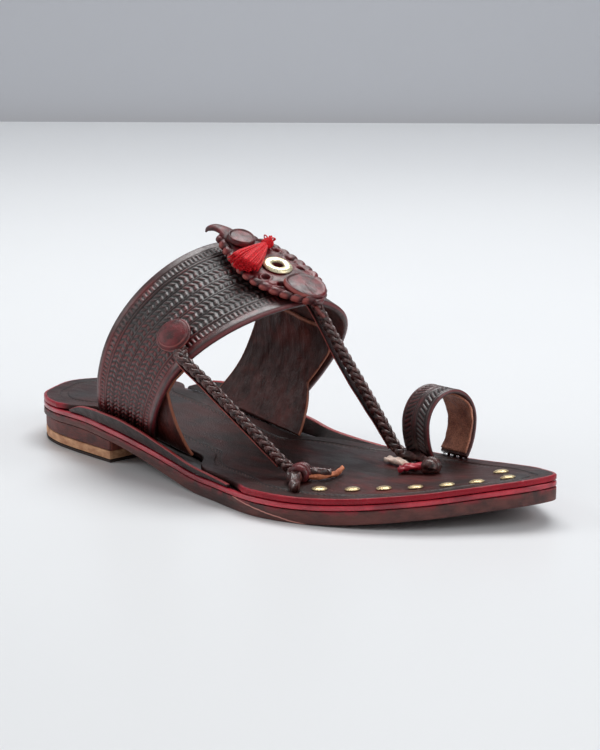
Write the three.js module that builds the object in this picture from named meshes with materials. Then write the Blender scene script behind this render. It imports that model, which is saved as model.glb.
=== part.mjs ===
/**
 * Kolhapuri sandal for the right foot: a stacked leather sole, one wide embossed instep band between
 * a pair of standing ears, a toe ring for the big toe, two braided thongs and a leaf ornament.
 *
 * Frame, in millimetres: +X runs from heel to toe, +Y to the inner (medial) side, +Z up. The floor
 * that the sandal stands on is z = 0 and y = 0 is the heel's middle. The tables and functions below
 * count x from the heel's back, and the finished group is moved so that its origin is the middle of
 * the heel's resting face.
 */
import * as THREE from "three";
import { mergeVertices } from "three/addons/utils/BufferGeometryUtils.js";

// ---- driving dimensions ------------------------------------------------------------------------

const LENGTH = 285;
const GAP = 0.3;

// Half widths of the sole at stations along it, from the line y = 0. The toe leans inwards, so the
// outer edge ends on the inner side of that line.
const OUTLINE = [
  { x: 0, outer: -3, inner: 3 },
  { x: 4, outer: 9, inner: 14 },
  { x: 14, outer: 25, inner: 26 },
  { x: 34, outer: 36.5, inner: 33.5 },
  { x: 71, outer: 42, inner: 33.5 },
  { x: 114, outer: 46, inner: 31 },
  { x: 157, outer: 54.5, inner: 35 },
  { x: 194, outer: 60.5, inner: 42 },
  { x: 228, outer: 50.5, inner: 44.5 },
  { x: 256, outer: 30, inner: 39 },
  { x: 274, outer: 6, inner: 29.5 },
  { x: 285, outer: -18, inner: 18 },
];

// Height of the foot bed above the floor: heel seat, arch, flat tread and toe spring.
const TREAD_HEIGHT = 10.8;
const FOOT_BED = [
  { x: 0, z: 18.9 },
  { x: 30, z: 19.8 },
  { x: 60, z: 20.3 },
  { x: 86, z: 18 },
  { x: 114, z: 14.2 },
  { x: 136, z: 11.8 },
  { x: 152, z: TREAD_HEIGHT },
  { x: 206, z: TREAD_HEIGHT },
  { x: 228, z: 11.8 },
  { x: 256, z: 15.2 },
  { x: 285, z: 20 },
];

const INSOLE_THICKNESS = 2.5;
const MIDSOLE_THICKNESS = 2.2;
const OUTSOLE = { heel: 3.2, taperFrom: 76, taperTo: 150 };
const HEEL = { back: 1, middle: 40, breast: 81, inset: 0.6, liftTop: 5.2, tapTop: 1.2 };

// Stations along the sole and the heel, and the angle that they stop short of a rounded end.
const SOLE_ROWS = 56;
const HEEL_ROWS = 18;
const SOLE_END = 0.047;

// The insole steps in from the edge where the band and its ears go down between the sole's layers.
const EAR_SLOT = [
  { x: 38, depth: 0 },
  { x: 48, depth: 2.9 },
  { x: 60, depth: 10.6 },
  { x: 116, depth: 11 },
  { x: 136, depth: 13 },
  { x: 145, depth: 6 },
  { x: 154, depth: 3.4 },
  { x: 174, depth: 3.2 },
  { x: 186, depth: 0 },
];

// The band's two edges, each an arch of elliptical arcs about y = BAND_CREST_Y and z = centreZ. outer
// and inner are the half widths, above is the upper half height, and outerLow and innerLow are the
// half heights below the centre, where the arch turns under to its feet. Its points lie on the
// sloping plane x = foot + slope * z.
const BAND_EDGES = {
  rear: {
    foot: 60, slope: 0.42, centreZ: 51, above: 45.5,
    outer: 55, inner: 33, outerLow: 56, innerLow: 43,
  },
  front: {
    foot: 98, slope: 0.75, centreZ: 46, above: 30,
    outer: 61, inner: 33, outerLow: 54, innerLow: 41.3,
  },
};
const BAND_CREST_Y = 8;
const NORMAL_STEP = 0.004;
const BAND_FOOT_Z = 16;
const BAND_THICKNESS = 3;

// The band's inner side leans further forward, by this much from this share of its half width on.
const BAND_INNER_ADVANCE = 8;
const BAND_ADVANCED_FROM = 0.9;

// The ears: shares of the band's width and length that a wing covers, and the sizes of wing and lip.
const WING = { rear: 0.03, frontLow: 1.6, frontHigh: 0.97, slant: 0.45, top: 0.27 };
const EAR = { wing: 1.3, lip: 2, inset: 0.4, outerLean: 0.62, innerLean: 0.88 };
const LIP = [
  { x: 50, height: 1.2 },
  { x: 62, height: 5 },
  { x: 80, height: 7.6 },
  { x: 98, height: 8.6 },
  { x: 118, height: 7 },
  { x: 146, height: 4 },
  { x: 174, height: 1.4 },
];

const RING = {
  x: 209, y: 33.2, yaw: -7, width: 17, wall: 2, halfWidth: 14.2, centre: 16.5, above: 15, below: 21.5,
};

// The ornament's own frame on the crest of the band: u runs forwards, v inwards, n outwards.
const ORNAMENT = { x: 134, y: 8, z: 86.8, pitch: 23, roll: 4, bend: 90, thickness: 2.6 };
const LEAF = [
  { u: -37, v: -8.5, half: 0.6, lift: 1.4 },
  { u: -34, v: -7, half: 2.2, lift: 2.6 },
  { u: -29, v: -3.5, half: 5.5, lift: 1.2 },
  { u: -24, v: -1.5, half: 9.8, lift: 0 },
  { u: -17, v: 0, half: 13.8, lift: 0 },
  { u: -5, v: 0, half: 17.3, lift: 0 },
  { u: 7, v: 0, half: 17.3, lift: 0 },
  { u: 18, v: 0, half: 13.5, lift: 0 },
  { u: 26, v: 0, half: 8, lift: 0 },
  { u: 30, v: 0, half: 2, lift: 0 },
];
const EYELET = { u: 1, v: 0, radius: 6.7, hole: 2.3, height: 1.8 };
const PETAL = { u: 19, v: 0.5, radius: 9.6, height: 2.2 };
const BUTTON = { u: -22, v: -2, radius: 6.4, height: 2.4, rise: 1.2 };
const TASSEL = { fromU: -13.5, fromV: 6.5, toU: -4.5, toV: -17, knot: 2.5, brush: 6.2, flat: 0.5 };

const STUD = { s: 0.76, t: 0.255, radius: 7.7, height: 3.2 };
const RIVET = { radius: 3.2, height: 1.1 };
const RIVETS = [
  { x: 210, y: -40 },
  { x: 221, y: -32 },
  { x: 231, y: -24 },
  { x: 242, y: -17 },
  { x: 252, y: -9 },
  { x: 260, y: 0 },
  { x: 267, y: 11 },
  { x: 253, y: 23 },
];

// The braided thongs, each over a flat backing thong; the rows are points of the braid's middle line.
const BRAID = { width: 5, height: 3 };
const BACKING = { width: 5, height: 1, drop: 2.6 };
const CENTRE_ROUTE = [
  { x: 158.5, y: 9, z: 74.5 },
  { x: 171, y: 13.5, z: 54 },
  { x: 180, y: 16.5, z: 40 },
  { x: 188, y: 18.5, z: 28 },
  { x: 195.5, y: 20, z: 17 },
];
const OUTER_ROUTE = [
  { x: 143, y: -53, z: 56.6 },
  { x: 154, y: -48.4, z: 46.7 },
  { x: 164, y: -44.5, z: 37 },
  { x: 174, y: -39.5, z: 26.5 },
  { x: 184, y: -35.5, z: 17 },
];

// Knots and cut ends of the two thongs, lying on the foot bed and turned by yaw.
const ENDS = [
  { name: "knot_centre", colour: "ornament", x: 225, y: 12, yaw: 75, length: 14, width: 8, height: 6.5 },
  { name: "tail_centre", colour: "natural", x: 206.5, y: 12, yaw: -10, length: 19, width: 6, height: 2.4 },
  { name: "knot_outer", colour: "ornament", x: 200, y: -42, yaw: 108, length: 24, width: 9, height: 6 },
  { name: "tail_outer", colour: "natural", x: 200, y: -21, yaw: 100, length: 15, width: 4, height: 2.2 },
];

const COLOURS = {
  insole: { color: 0x2d1f1d, roughness: 0.5, metalness: 0 },
  edge: { color: 0xa8203a, roughness: 0.35, metalness: 0 },
  outsole: { color: 0x553c37, roughness: 0.65, metalness: 0 },
  natural: { color: 0xc8966e, roughness: 0.7, metalness: 0 },
  tap: { color: 0x2a1c18, roughness: 0.7, metalness: 0 },
  upper: { color: 0x3c2828, roughness: 0.45, metalness: 0 },
  ornament: { color: 0x64232d, roughness: 0.4, metalness: 0 },
  brass: { color: 0xd9cf9a, roughness: 0.3, metalness: 0.9 },
  tassel: { color: 0xd70f23, roughness: 0.9, metalness: 0 },
  suede: { color: 0x965f4b, roughness: 0.95, metalness: 0 },
};

// ---- helpers -----------------------------------------------------------------------------------

const radians = THREE.MathUtils.degToRad;
const sandal = new THREE.Group();

function add(name, colour, geometry) {
  const mesh = new THREE.Mesh(geometry, new THREE.MeshStandardMaterial(COLOURS[colour]));
  mesh.name = name;
  sandal.add(mesh);
  return mesh;
}

/** Smooth curve through a table's column, as a function of x. */
function column(rows, name, key = "x") {
  const slope = rows.map((row, i) => {
    const before = rows[Math.max(i - 1, 0)];
    const after = rows[Math.min(i + 1, rows.length - 1)];
    return (after[name] - before[name]) / (after[key] - before[key]);
  });
  return (x) => {
    let i = 0;
    while (i < rows.length - 2 && x > rows[i + 1][key]) i += 1;
    const span = rows[i + 1][key] - rows[i][key];
    const t = THREE.MathUtils.clamp((x - rows[i][key]) / span, 0, 1);
    const straight = THREE.MathUtils.lerp(rows[i][name], rows[i + 1][name], t);
    const rise = (rows[i + 1][name] - rows[i][name]) / span;
    const bend = t * (1 - t) * span;
    return straight + bend * ((1 - t) * (slope[i] - rise) - t * (slope[i + 1] - rise));
  };
}

/**
 * Closed solid between two faces. face(a, b, side) gives a point for a and b from 0 to 1, on the
 * outer face for side 1 and on the inner face for side -1.
 */
function slab(rows, columns, face) {
  const positions = [];
  const index = [];
  const at = (i, j, side) => (side * (rows + 1) + i) * (columns + 1) + j;
  for (const side of [0, 1]) {
    for (let i = 0; i <= rows; i += 1) {
      for (let j = 0; j <= columns; j += 1) {
        positions.push(...face(i / rows, j / columns, side === 0 ? 1 : -1).toArray());
      }
    }
  }
  const quad = (a, b, c, d) => index.push(a, b, c, a, c, d);
  for (let i = 0; i < rows; i += 1) {
    for (let j = 0; j < columns; j += 1) {
      quad(at(i, j, 0), at(i + 1, j, 0), at(i + 1, j + 1, 0), at(i, j + 1, 0));
      quad(at(i, j, 1), at(i, j + 1, 1), at(i + 1, j + 1, 1), at(i + 1, j, 1));
    }
    quad(at(i, 0, 0), at(i, 0, 1), at(i + 1, 0, 1), at(i + 1, 0, 0));
    quad(at(i, columns, 0), at(i + 1, columns, 0), at(i + 1, columns, 1), at(i, columns, 1));
  }
  for (let j = 0; j < columns; j += 1) {
    quad(at(0, j, 0), at(0, j + 1, 0), at(0, j + 1, 1), at(0, j, 1));
    quad(at(rows, j, 0), at(rows, j, 1), at(rows, j + 1, 1), at(rows, j + 1, 0));
  }
  const geometry = new THREE.BufferGeometry();
  geometry.setAttribute("position", new THREE.Float32BufferAttribute(positions, 3));
  geometry.setIndex(index);
  const merged = mergeVertices(geometry, 1e-4);
  return faceOut(merged);
}

/** Turns every triangle round when the closed mesh is inside out. */
function faceOut(geometry) {
  const index = geometry.index;
  const position = geometry.attributes.position;
  const [a, b, c] = [new THREE.Vector3(), new THREE.Vector3(), new THREE.Vector3()];
  let volume = 0;
  for (let i = 0; i < index.count; i += 3) {
    a.fromBufferAttribute(position, index.getX(i));
    b.fromBufferAttribute(position, index.getX(i + 1));
    c.fromBufferAttribute(position, index.getX(i + 2));
    volume += a.dot(b.cross(c));
  }
  if (volume < 0) {
    for (let i = 0; i < index.count; i += 3) {
      const first = index.getX(i);
      index.setX(i, index.getX(i + 1));
      index.setX(i + 1, first);
    }
  }
  geometry.computeVertexNormals();
  return geometry;
}

/** Round piece from a profile of [radius, height] pairs, its axis along +Z. */
function turned(profile, segments) {
  const points = profile.map(([radius, height]) => new THREE.Vector2(radius, height));
  const geometry = new THREE.LatheGeometry(points, segments);
  geometry.rotateX(Math.PI / 2);
  return geometry;
}

// ---- sole --------------------------------------------------------------------------------------

/** Angle that runs from 0 at the heel to pi at the toe and rounds off the outline at both ends. */
const roundAngle = (x) => Math.acos(1 - 2 * x / LENGTH);
const stations = OUTLINE.map((row) => ({ ...row, angle: roundAngle(row.x) }));
const outerWidth = (x) => column(stations, "outer", "angle")(roundAngle(x));
const innerWidth = (x) => column(stations, "inner", "angle")(roundAngle(x));
const smoothBed = column(FOOT_BED, "z");
const footBed = (x) => Math.max(TREAD_HEIGHT, smoothBed(x));

/** Edge of the sole at x: side -1 is the outer edge and side 1 the inner edge. */
function edgeY(x, side) {
  return side < 0 ? -outerWidth(x) : innerWidth(x);
}

/** How far the insole steps in at x to leave room for the band and the ears. */
const slotDepth = column(EAR_SLOT, "depth");

function outsoleThickness(x) {
  const full = TREAD_HEIGHT - INSOLE_THICKNESS - MIDSOLE_THICKNESS - 2 * GAP;
  const grown = THREE.MathUtils.smoothstep(x, OUTSOLE.taperFrom, OUTSOLE.taperTo);
  return THREE.MathUtils.lerp(OUTSOLE.heel, full, grown);
}

const midsoleTop = (x) => footBed(x) - INSOLE_THICKNESS - GAP;
const outsoleTop = (x) => midsoleTop(x) - MIDSOLE_THICKNESS - GAP;
const outsoleBottom = (x) => outsoleTop(x) - outsoleThickness(x);

/** Flat-edged layer of the whole sole, with stations closer at its rounded ends. */
function soleLayer({ top, bottom, inset }) {
  return slab(SOLE_ROWS, 1, (a, b, side) => {
    const angle = THREE.MathUtils.lerp(SOLE_END, Math.PI - SOLE_END, a);
    const x = LENGTH * 0.5 * (1 - Math.cos(angle));
    const hand = b < 0.5 ? -1 : 1;
    const y = edgeY(x, hand) - hand * inset(x);
    return new THREE.Vector3(x, y, side > 0 ? top(x) : bottom(x));
  });
}

/** Piece of the heel, rounded at the back and square at the breast. */
function heelLayer(top, bottom) {
  return slab(HEEL_ROWS, 1, (a, b, side) => {
    const angle = THREE.MathUtils.lerp(SOLE_END, Math.PI / 2, a);
    const x = HEEL.back + (HEEL.breast - HEEL.back) * (1 - Math.cos(angle));
    const hand = b < 0.5 ? -1 : 1;
    return new THREE.Vector3(x, edgeY(x, hand) - hand * HEEL.inset, side > 0 ? top(x) : bottom(x));
  });
}

const insoleBottom = (x) => footBed(x) - INSOLE_THICKNESS;
const midsoleBottom = (x) => midsoleTop(x) - MIDSOLE_THICKNESS;
const heelTop = (x) => outsoleBottom(x) - GAP;
const flush = () => 0;
add("insole", "insole", soleLayer({ top: footBed, bottom: insoleBottom, inset: slotDepth }));
add("midsole", "edge", soleLayer({ top: midsoleTop, bottom: midsoleBottom, inset: flush }));
add("outsole", "outsole", soleLayer({ top: outsoleTop, bottom: outsoleBottom, inset: flush }));
add("heel_block", "outsole", heelLayer(heelTop, () => HEEL.liftTop + GAP));
add("heel_lift", "natural", heelLayer(() => HEEL.liftTop, () => HEEL.tapTop + GAP));
add("heel_tap", "tap", heelLayer(() => HEEL.tapTop, () => 0));

// ---- instep band -------------------------------------------------------------------------------

/** Height where the lower end of the band, or of an ear, stands on the midsole at x. */
const slotFloor = (x) => midsoleTop(x) + GAP;

/** Point on one edge of the band. t runs from 0 at the outer foot, over the crest at 0.5, to 1. */
function bandEdge(edge, t) {
  const hand = t < 0.5 ? -1 : 1;
  const half = hand < 0 ? edge.outer : edge.inner;
  const below = hand < 0 ? edge.outerLow : edge.innerLow;
  const footX = edge.foot + edge.slope * BAND_FOOT_Z + (hand > 0 ? BAND_INNER_ADVANCE : 0);
  const drop = Math.asin((edge.centreZ - slotFloor(footX)) / below);
  const angle = THREE.MathUtils.lerp(-drop, Math.PI / 2, 1 - Math.abs(1 - 2 * t));
  const y = BAND_CREST_Y + hand * half * Math.cos(angle);
  const z = edge.centreZ + (angle > 0 ? edge.above : below) * Math.sin(angle);
  const inwards = THREE.MathUtils.clamp((y - BAND_CREST_Y) / edge.inner, 0, 1);
  const advance = BAND_INNER_ADVANCE * THREE.MathUtils.smoothstep(inwards, 0, BAND_ADVANCED_FROM);
  return new THREE.Vector3(edge.foot + edge.slope * z + advance, y, z);
}

/** Point of the band's outer face: s runs from 0 at the rear edge to 1 at the front edge. */
function bandFace(s, t) {
  const rear = bandEdge(BAND_EDGES.rear, t);
  const front = bandEdge(BAND_EDGES.front, t);
  return rear.lerp(front, s);
}

/** Outward normal of the band at (s, t). */
function bandNormal(s, t) {
  const step = NORMAL_STEP;
  const lower = Math.min(Math.max(t - step, 0), 1 - 2 * step);
  const along = bandFace(s, lower + 2 * step).sub(bandFace(s, lower));
  const across = bandFace(1, t).sub(bandFace(0, t));
  return across.cross(along).normalize();
}

/** Point at a depth under the band's outer face, never lower than the midsole that it stands on. */
function bandPoint(s, t, depth) {
  const point = bandFace(s, t).addScaledVector(bandNormal(s, t), -depth);
  point.z = Math.max(point.z, slotFloor(point.x));
  return point;
}

add("instep_band", "upper", slab(48, 4, (t, s, side) => bandPoint(s, t, side > 0 ? 0 : BAND_THICKNESS)));

// ---- ears --------------------------------------------------------------------------------------

/**
 * Thin wing inside the band. It lines the lower part of the band, and its front corner runs out
 * past the band along the foot bed as a low triangle.
 */
function earWing(side) {
  const turn = (t) => (side < 0 ? t : 1 - t);
  return slab(12, 12, (a, b, face) => {
    const reach = THREE.MathUtils.lerp(WING.frontLow, WING.frontHigh, Math.min(1, a / WING.slant));
    const s = THREE.MathUtils.lerp(WING.rear, reach, b);
    const t = turn(WING.top * a);
    const depth = BAND_THICKNESS + GAP + (face > 0 ? 0 : EAR.wing);
    return bandPoint(s, t, depth);
  });
}
for (const [hand, side] of [["outer", -1], ["inner", 1]]) {
  add(`ear_wing_${hand}`, "upper", earWing(side));
}

/** Leather lip that stands on the sole's edge outside the band, highest beside the band's front. */
const lipRise = column(LIP, "height");
function earLip(side) {
  const from = LIP[0].x;
  const to = LIP[LIP.length - 1].x;
  return slab(24, 1, (a, b, face) => {
    const x = THREE.MathUtils.lerp(from, to, a);
    const y = edgeY(x, side) - side * (face > 0 ? EAR.inset : EAR.inset + EAR.lip);
    const lean = b * lipRise(x) * (side < 0 ? EAR.outerLean : EAR.innerLean);
    return new THREE.Vector3(x, y + side * lean, slotFloor(x) + b * lipRise(x));
  });
}
for (const [hand, side] of [["outer", -1], ["inner", 1]]) {
  add(`ear_lip_${hand}`, "upper", earLip(side));
}

// ---- toe ring ----------------------------------------------------------------------------------

const ringAxis = new THREE.Vector3(Math.cos(radians(RING.yaw)), Math.sin(radians(RING.yaw)), 0);
const ringAcross = new THREE.Vector3(-ringAxis.y, ringAxis.x, 0);

/** Point of the toe ring: b along its axis from 0 to 1, a round the loop, at a depth in its wall. */
function ringPoint(a, b, depth) {
  const half = RING.halfWidth - depth;
  const drop = Math.asin(RING.centre / RING.below);
  const angle = THREE.MathUtils.lerp(-drop, Math.PI + drop, a);
  const reach = (Math.sin(angle) > 0 ? RING.above : RING.below) - depth;
  const point = new THREE.Vector3(RING.x, RING.y, 0)
    .addScaledVector(ringAxis, RING.width * (b - 0.5))
    .addScaledVector(ringAcross, half * Math.cos(angle));
  const bed = footBed(point.x) + GAP;
  point.z = Math.max(bed + RING.centre + reach * Math.sin(angle), bed);
  return point;
}

add("toe_ring", "upper", slab(32, 2, (a, b, side) => ringPoint(a, b, side > 0 ? 0 : RING.wall)));

// ---- ornament ----------------------------------------------------------------------------------

const ornamentOrigin = new THREE.Vector3(ORNAMENT.x, ORNAMENT.y, ORNAMENT.z);
const ornamentTurn = new THREE.Euler(radians(ORNAMENT.roll), radians(ORNAMENT.pitch), 0, "YXZ");
const ornamentU = new THREE.Vector3(1, 0, 0).applyEuler(ornamentTurn);
const ornamentV = new THREE.Vector3(0, 1, 0).applyEuler(ornamentTurn);
const ornamentN = new THREE.Vector3(0, 0, 1).applyEuler(ornamentTurn);

/** Point in the ornament's frame; the surface n = 0 bends down to both sides like the band. */
function ornamentPoint(u, v, n) {
  return ornamentOrigin.clone()
    .addScaledVector(ornamentU, u)
    .addScaledVector(ornamentV, v)
    .addScaledVector(ornamentN, n - v * v / (2 * ORNAMENT.bend));
}

/** Sets a turned piece on the ornament with its axis along the surface's normal at (u, v). */
function onOrnament(mesh, u, v, n) {
  const normal = ornamentN.clone().addScaledVector(ornamentV, v / ORNAMENT.bend).normalize();
  mesh.position.copy(ornamentPoint(u, v, n));
  mesh.quaternion.setFromUnitVectors(new THREE.Vector3(0, 0, 1), normal);
}

const leaf = {
  v: column(LEAF, "v", "u"),
  half: column(LEAF, "half", "u"),
  lift: column(LEAF, "lift", "u"),
};
add("medallion", "ornament", slab(26, 4, (a, b, side) => {
  const u = THREE.MathUtils.lerp(LEAF[0].u, LEAF[LEAF.length - 1].u, 0.5 * (1 - Math.cos(Math.PI * a)));
  const v = leaf.v(u) + leaf.half(u) * (2 * b - 1);
  return ornamentPoint(u, v, leaf.lift(u) + (side > 0 ? ORNAMENT.thickness : 0));
}));

const onTop = ORNAMENT.thickness + GAP;
onOrnament(add("eyelet", "brass", turned([
  [EYELET.hole, 0],
  [EYELET.radius, 0],
  [EYELET.radius, EYELET.height * 0.4],
  [EYELET.radius * 0.72, EYELET.height],
  [EYELET.hole, EYELET.height * 0.6],
  [EYELET.hole, 0],
], 24)), EYELET.u, EYELET.v, onTop);

/** Low round disc with its edge rounded off. */
const disc = (radius, height, segments = 20) => turned([
  [0, 0], [radius * 0.94, 0], [radius, height * 0.45], [radius * 0.85, height * 0.9], [0, height],
], segments);

const petal = add("petal", "ornament", disc(PETAL.radius, PETAL.height));
onOrnament(petal, PETAL.u, PETAL.v, onTop);
const button = add("button", "ornament", disc(BUTTON.radius, BUTTON.height));
onOrnament(button, BUTTON.u, BUTTON.v, onTop + BUTTON.rise);

// The tassel lies on the ornament: its knot at the top, its flat brush fanned over the outer edge.
const tasselTop = ornamentPoint(TASSEL.fromU, TASSEL.fromV, onTop + TASSEL.knot);
const tasselEnd = ornamentPoint(TASSEL.toU, TASSEL.toV, onTop + TASSEL.brush * TASSEL.flat + 0.6);
const tasselLength = tasselTop.distanceTo(tasselEnd);
const tassel = add("tassel", "tassel", turned([
  [0, -TASSEL.knot],
  [TASSEL.knot, -1],
  [TASSEL.knot, 2],
  [TASSEL.knot * 0.8, 3.5],
  [TASSEL.brush * 0.72, tasselLength * 0.6],
  [TASSEL.brush, tasselLength],
  [0, tasselLength + 0.5],
], 14));
const tasselAlong = tasselEnd.clone().sub(tasselTop).normalize();
const tasselAcross = tasselAlong.clone().cross(ornamentN).normalize();
const tasselFlat = tasselAcross.clone().cross(tasselAlong);
tassel.geometry.scale(TASSEL.flat, 1, 1);
tassel.quaternion.setFromRotationMatrix(
  new THREE.Matrix4().makeBasis(tasselFlat, tasselAcross, tasselAlong),
);
tassel.position.copy(tasselTop);

// ---- studs, thongs and knots -------------------------------------------------------------------

const stud = add("stud", "ornament", disc(STUD.radius, STUD.height, 18));
stud.position.copy(bandPoint(STUD.s, STUD.t, -2 * GAP));
stud.quaternion.setFromUnitVectors(new THREE.Vector3(0, 0, 1), bandNormal(STUD.s, STUD.t));

/** Flat strap along a route: its width lies level, and its face is crowned by the given height. */
function strap(route, { width, height, drop = 0 }) {
  const curve = new THREE.CatmullRomCurve3(route.map((p) => new THREE.Vector3(p.x, p.y, p.z)));
  return slab(16, 4, (a, b, face) => {
    const tangent = curve.getTangentAt(a);
    const level = new THREE.Vector3(0, 0, 1).cross(tangent).normalize();
    const normal = tangent.clone().cross(level);
    const across = 2 * b - 1;
    const crown = 0.5 * height * (0.35 + 0.65 * Math.sqrt(1 - across * across));
    return curve.getPointAt(a)
      .addScaledVector(level, 0.5 * width * across)
      .addScaledVector(normal, face * crown - drop);
  });
}
add("thong_centre", "upper", strap(CENTRE_ROUTE, BRAID));
add("thong_outer", "upper", strap(OUTER_ROUTE, BRAID));
add("backing_centre", "ornament", strap(CENTRE_ROUTE, BACKING));
add("backing_outer", "ornament", strap(OUTER_ROUTE, BACKING));

/** Soft flattened piece of leather, thickest in its middle, lying on z = 0. */
function lump({ length, width, height }) {
  return slab(8, 4, (a, b, face) => {
    const along = 2 * a - 1;
    const across = 2 * b - 1;
    const crown = Math.sqrt((1 - 0.9 * along ** 2) * (1 - 0.9 * across ** 2));
    return new THREE.Vector3(
      0.5 * length * along, 0.5 * width * across, 0.5 * height * (1 + face * crown),
    );
  });
}
for (const end of ENDS) {
  const mesh = add(end.name, end.colour, lump(end));
  mesh.position.set(end.x, end.y, footBed(end.x) + GAP);
  mesh.rotation.z = radians(end.yaw);
}

for (const [i, { x, y }] of RIVETS.entries()) {
  const rivet = add(`rivet_${i + 1}`, "brass", turned([
    [0, 0], [RIVET.radius, 0], [RIVET.radius * 0.8, RIVET.height * 0.7], [0, RIVET.height],
  ], 14));
  const slope = (footBed(x + 1) - footBed(x - 1)) / 2;
  rivet.position.set(x, y, footBed(x) + GAP);
  rivet.rotation.y = -Math.atan(slope);
}

// The frame's origin is the middle of the face that the heel rests on.
sandal.position.x = -HEEL.middle;

export default sandal;
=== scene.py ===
"""Looks of the kolhapuri sandal, right foot.

Shapes are worked out in millimetres in the sandal's own design frame, where x runs from the back of
the heel to the toe, y to the inner side and z up from the floor. `Piece.build` turns them into metres
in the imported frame, whose origin is the middle of the heel's resting face.
"""

import math
from functools import reduce

import bmesh
import bpy
import numpy as np
from mathutils import Matrix, Vector


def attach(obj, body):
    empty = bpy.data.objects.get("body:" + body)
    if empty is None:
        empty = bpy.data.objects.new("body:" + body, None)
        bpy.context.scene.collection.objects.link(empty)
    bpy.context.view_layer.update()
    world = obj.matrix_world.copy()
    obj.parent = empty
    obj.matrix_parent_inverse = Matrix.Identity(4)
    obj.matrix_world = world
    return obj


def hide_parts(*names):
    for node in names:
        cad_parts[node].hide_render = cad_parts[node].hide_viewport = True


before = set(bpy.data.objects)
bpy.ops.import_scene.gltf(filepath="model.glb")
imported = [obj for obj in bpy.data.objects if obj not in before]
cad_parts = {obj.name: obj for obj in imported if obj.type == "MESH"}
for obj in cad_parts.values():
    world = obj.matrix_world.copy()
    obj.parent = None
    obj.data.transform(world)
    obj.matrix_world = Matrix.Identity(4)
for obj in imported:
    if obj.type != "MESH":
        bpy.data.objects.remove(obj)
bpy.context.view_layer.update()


# ---- sizes in millimetres, as in the CAD source

def table(names, *rows):
    """Rows as dictionaries, from a line of column names and a tuple for each row."""
    return [dict(zip(names.split(), row)) for row in rows]


LENGTH = 285
HEEL_MIDDLE = 40
GAP = 0.3
OUTLINE = table(
    "x outer inner",
    (0, -3, 3), (4, 9, 14), (14, 25, 26), (34, 36.5, 33.5), (71, 42, 33.5), (114, 46, 31), (157, 54.5, 35),
    (194, 60.5, 42), (228, 50.5, 44.5), (256, 30, 39), (274, 6, 29.5), (285, -18, 18),
)
TREAD_HEIGHT = 10.8
FOOT_BED = table(
    "x z",
    (0, 18.9), (30, 19.8), (60, 20.3), (86, 18), (114, 14.2), (136, 11.8), (152, TREAD_HEIGHT),
    (206, TREAD_HEIGHT), (228, 11.8), (256, 15.2), (285, 20),
)
INSOLE_THICKNESS = 2.5
MIDSOLE_THICKNESS = 2.2
OUTSOLE = dict(heel=3.2, taper_from=76, taper_to=150)
HEEL = dict(back=1, breast=81, inset=0.6, lift_top=5.2, tap_top=1.2)
EAR_SLOT = table(
    "x depth",
    (38, 0), (48, 2.9), (60, 10.6), (116, 11), (136, 13), (145, 6), (154, 3.4), (174, 3.2), (186, 0),
)
BAND_REAR, BAND_FRONT = table(
    "foot slope centre_z above outer inner outer_low inner_low",
    (60, 0.42, 51, 45.5, 55, 33, 56, 43), (98, 0.75, 46, 30, 61, 33, 54, 41.3),
)
BAND_CREST_Y = 8
BAND_FOOT_Z = 16
BAND_INNER_ADVANCE = 8
BAND_ADVANCED_FROM = 0.9
BAND_THICKNESS = 3
BAND_WIDTH = 54
NORMAL_STEP = 0.004
WING = dict(rear=0.03, front_low=1.6, front_high=0.97, slant=0.45, top=0.27, thickness=1.3)
LIP = table("x height", (50, 1.2), (62, 5), (80, 7.6), (98, 8.6), (118, 7), (146, 4), (174, 1.4))
LIP_EDGE = dict(thickness=2, inset=0.4, outer_lean=0.62, inner_lean=0.88)
RING = dict(x=209, y=33.2, yaw=-7, width=17, wall=2, half=14.2, centre=16.5, above=15, below=21.5)
ORNAMENT = dict(x=134, y=8, z=86.8, pitch=23, roll=4, bend=90, thickness=2.6)
RIVETS = [(210, -40), (221, -32), (231, -24), (242, -17), (252, -9), (260, 0), (267, 11), (253, 23)]
CENTRE_ROUTE = [(158.5, 9, 74.5), (171, 13.5, 54), (180, 16.5, 40), (188, 18.5, 28), (195.5, 20, 17)]
OUTER_ROUTE = [
    (142.2, -52.2, 56.4), (153.6, -48.2, 46.6), (164, -44.5, 37), (174, -39.5, 26.5), (184, -35.5, 17),
]

rng = np.random.default_rng(7)


# ---- numbers and curves

def smoothstep(x, low, high):
    t = np.clip((np.asarray(x, float) - low) / (high - low), 0, 1)
    return t * t * (3 - 2 * t)


def lerp(a, b, t):
    return a + (b - a) * t


def column(rows, name, key="x"):
    """Smooth curve through a table's column, as a function of x; the same curve as in the CAD source."""
    k = np.array([row[key] for row in rows], float)
    v = np.array([row[name] for row in rows], float)
    before = np.maximum(np.arange(len(k)) - 1, 0)
    after = np.minimum(np.arange(len(k)) + 1, len(k) - 1)
    slope = (v[after] - v[before]) / (k[after] - k[before])

    def curve(x):
        x = np.asarray(x, float)
        i = np.clip(np.searchsorted(k, x, side="left") - 1, 0, len(k) - 2)
        span = k[i + 1] - k[i]
        t = np.clip((x - k[i]) / span, 0, 1)
        rise = (v[i + 1] - v[i]) / span
        bend = t * (1 - t) * span
        return lerp(v[i], v[i + 1], t) + bend * ((1 - t) * (slope[i] - rise) - t * (slope[i + 1] - rise))

    return curve


def spline(points, count):
    """Points evenly spaced in parameter on a smooth curve through a few chosen points."""
    rows = table("t x y z", *((i, *point) for i, point in enumerate(points)))
    t = np.linspace(0, len(rows) - 1, count)
    return vectors(*(column(rows, axis, "t")(t) for axis in "xyz"))


def vectors(x, y, z):
    return np.stack(np.broadcast_arrays(np.asarray(x, float), y, z), axis=-1)


def unit(v):
    return v / np.maximum(np.linalg.norm(v, axis=-1, keepdims=True), 1e-9)


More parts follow.
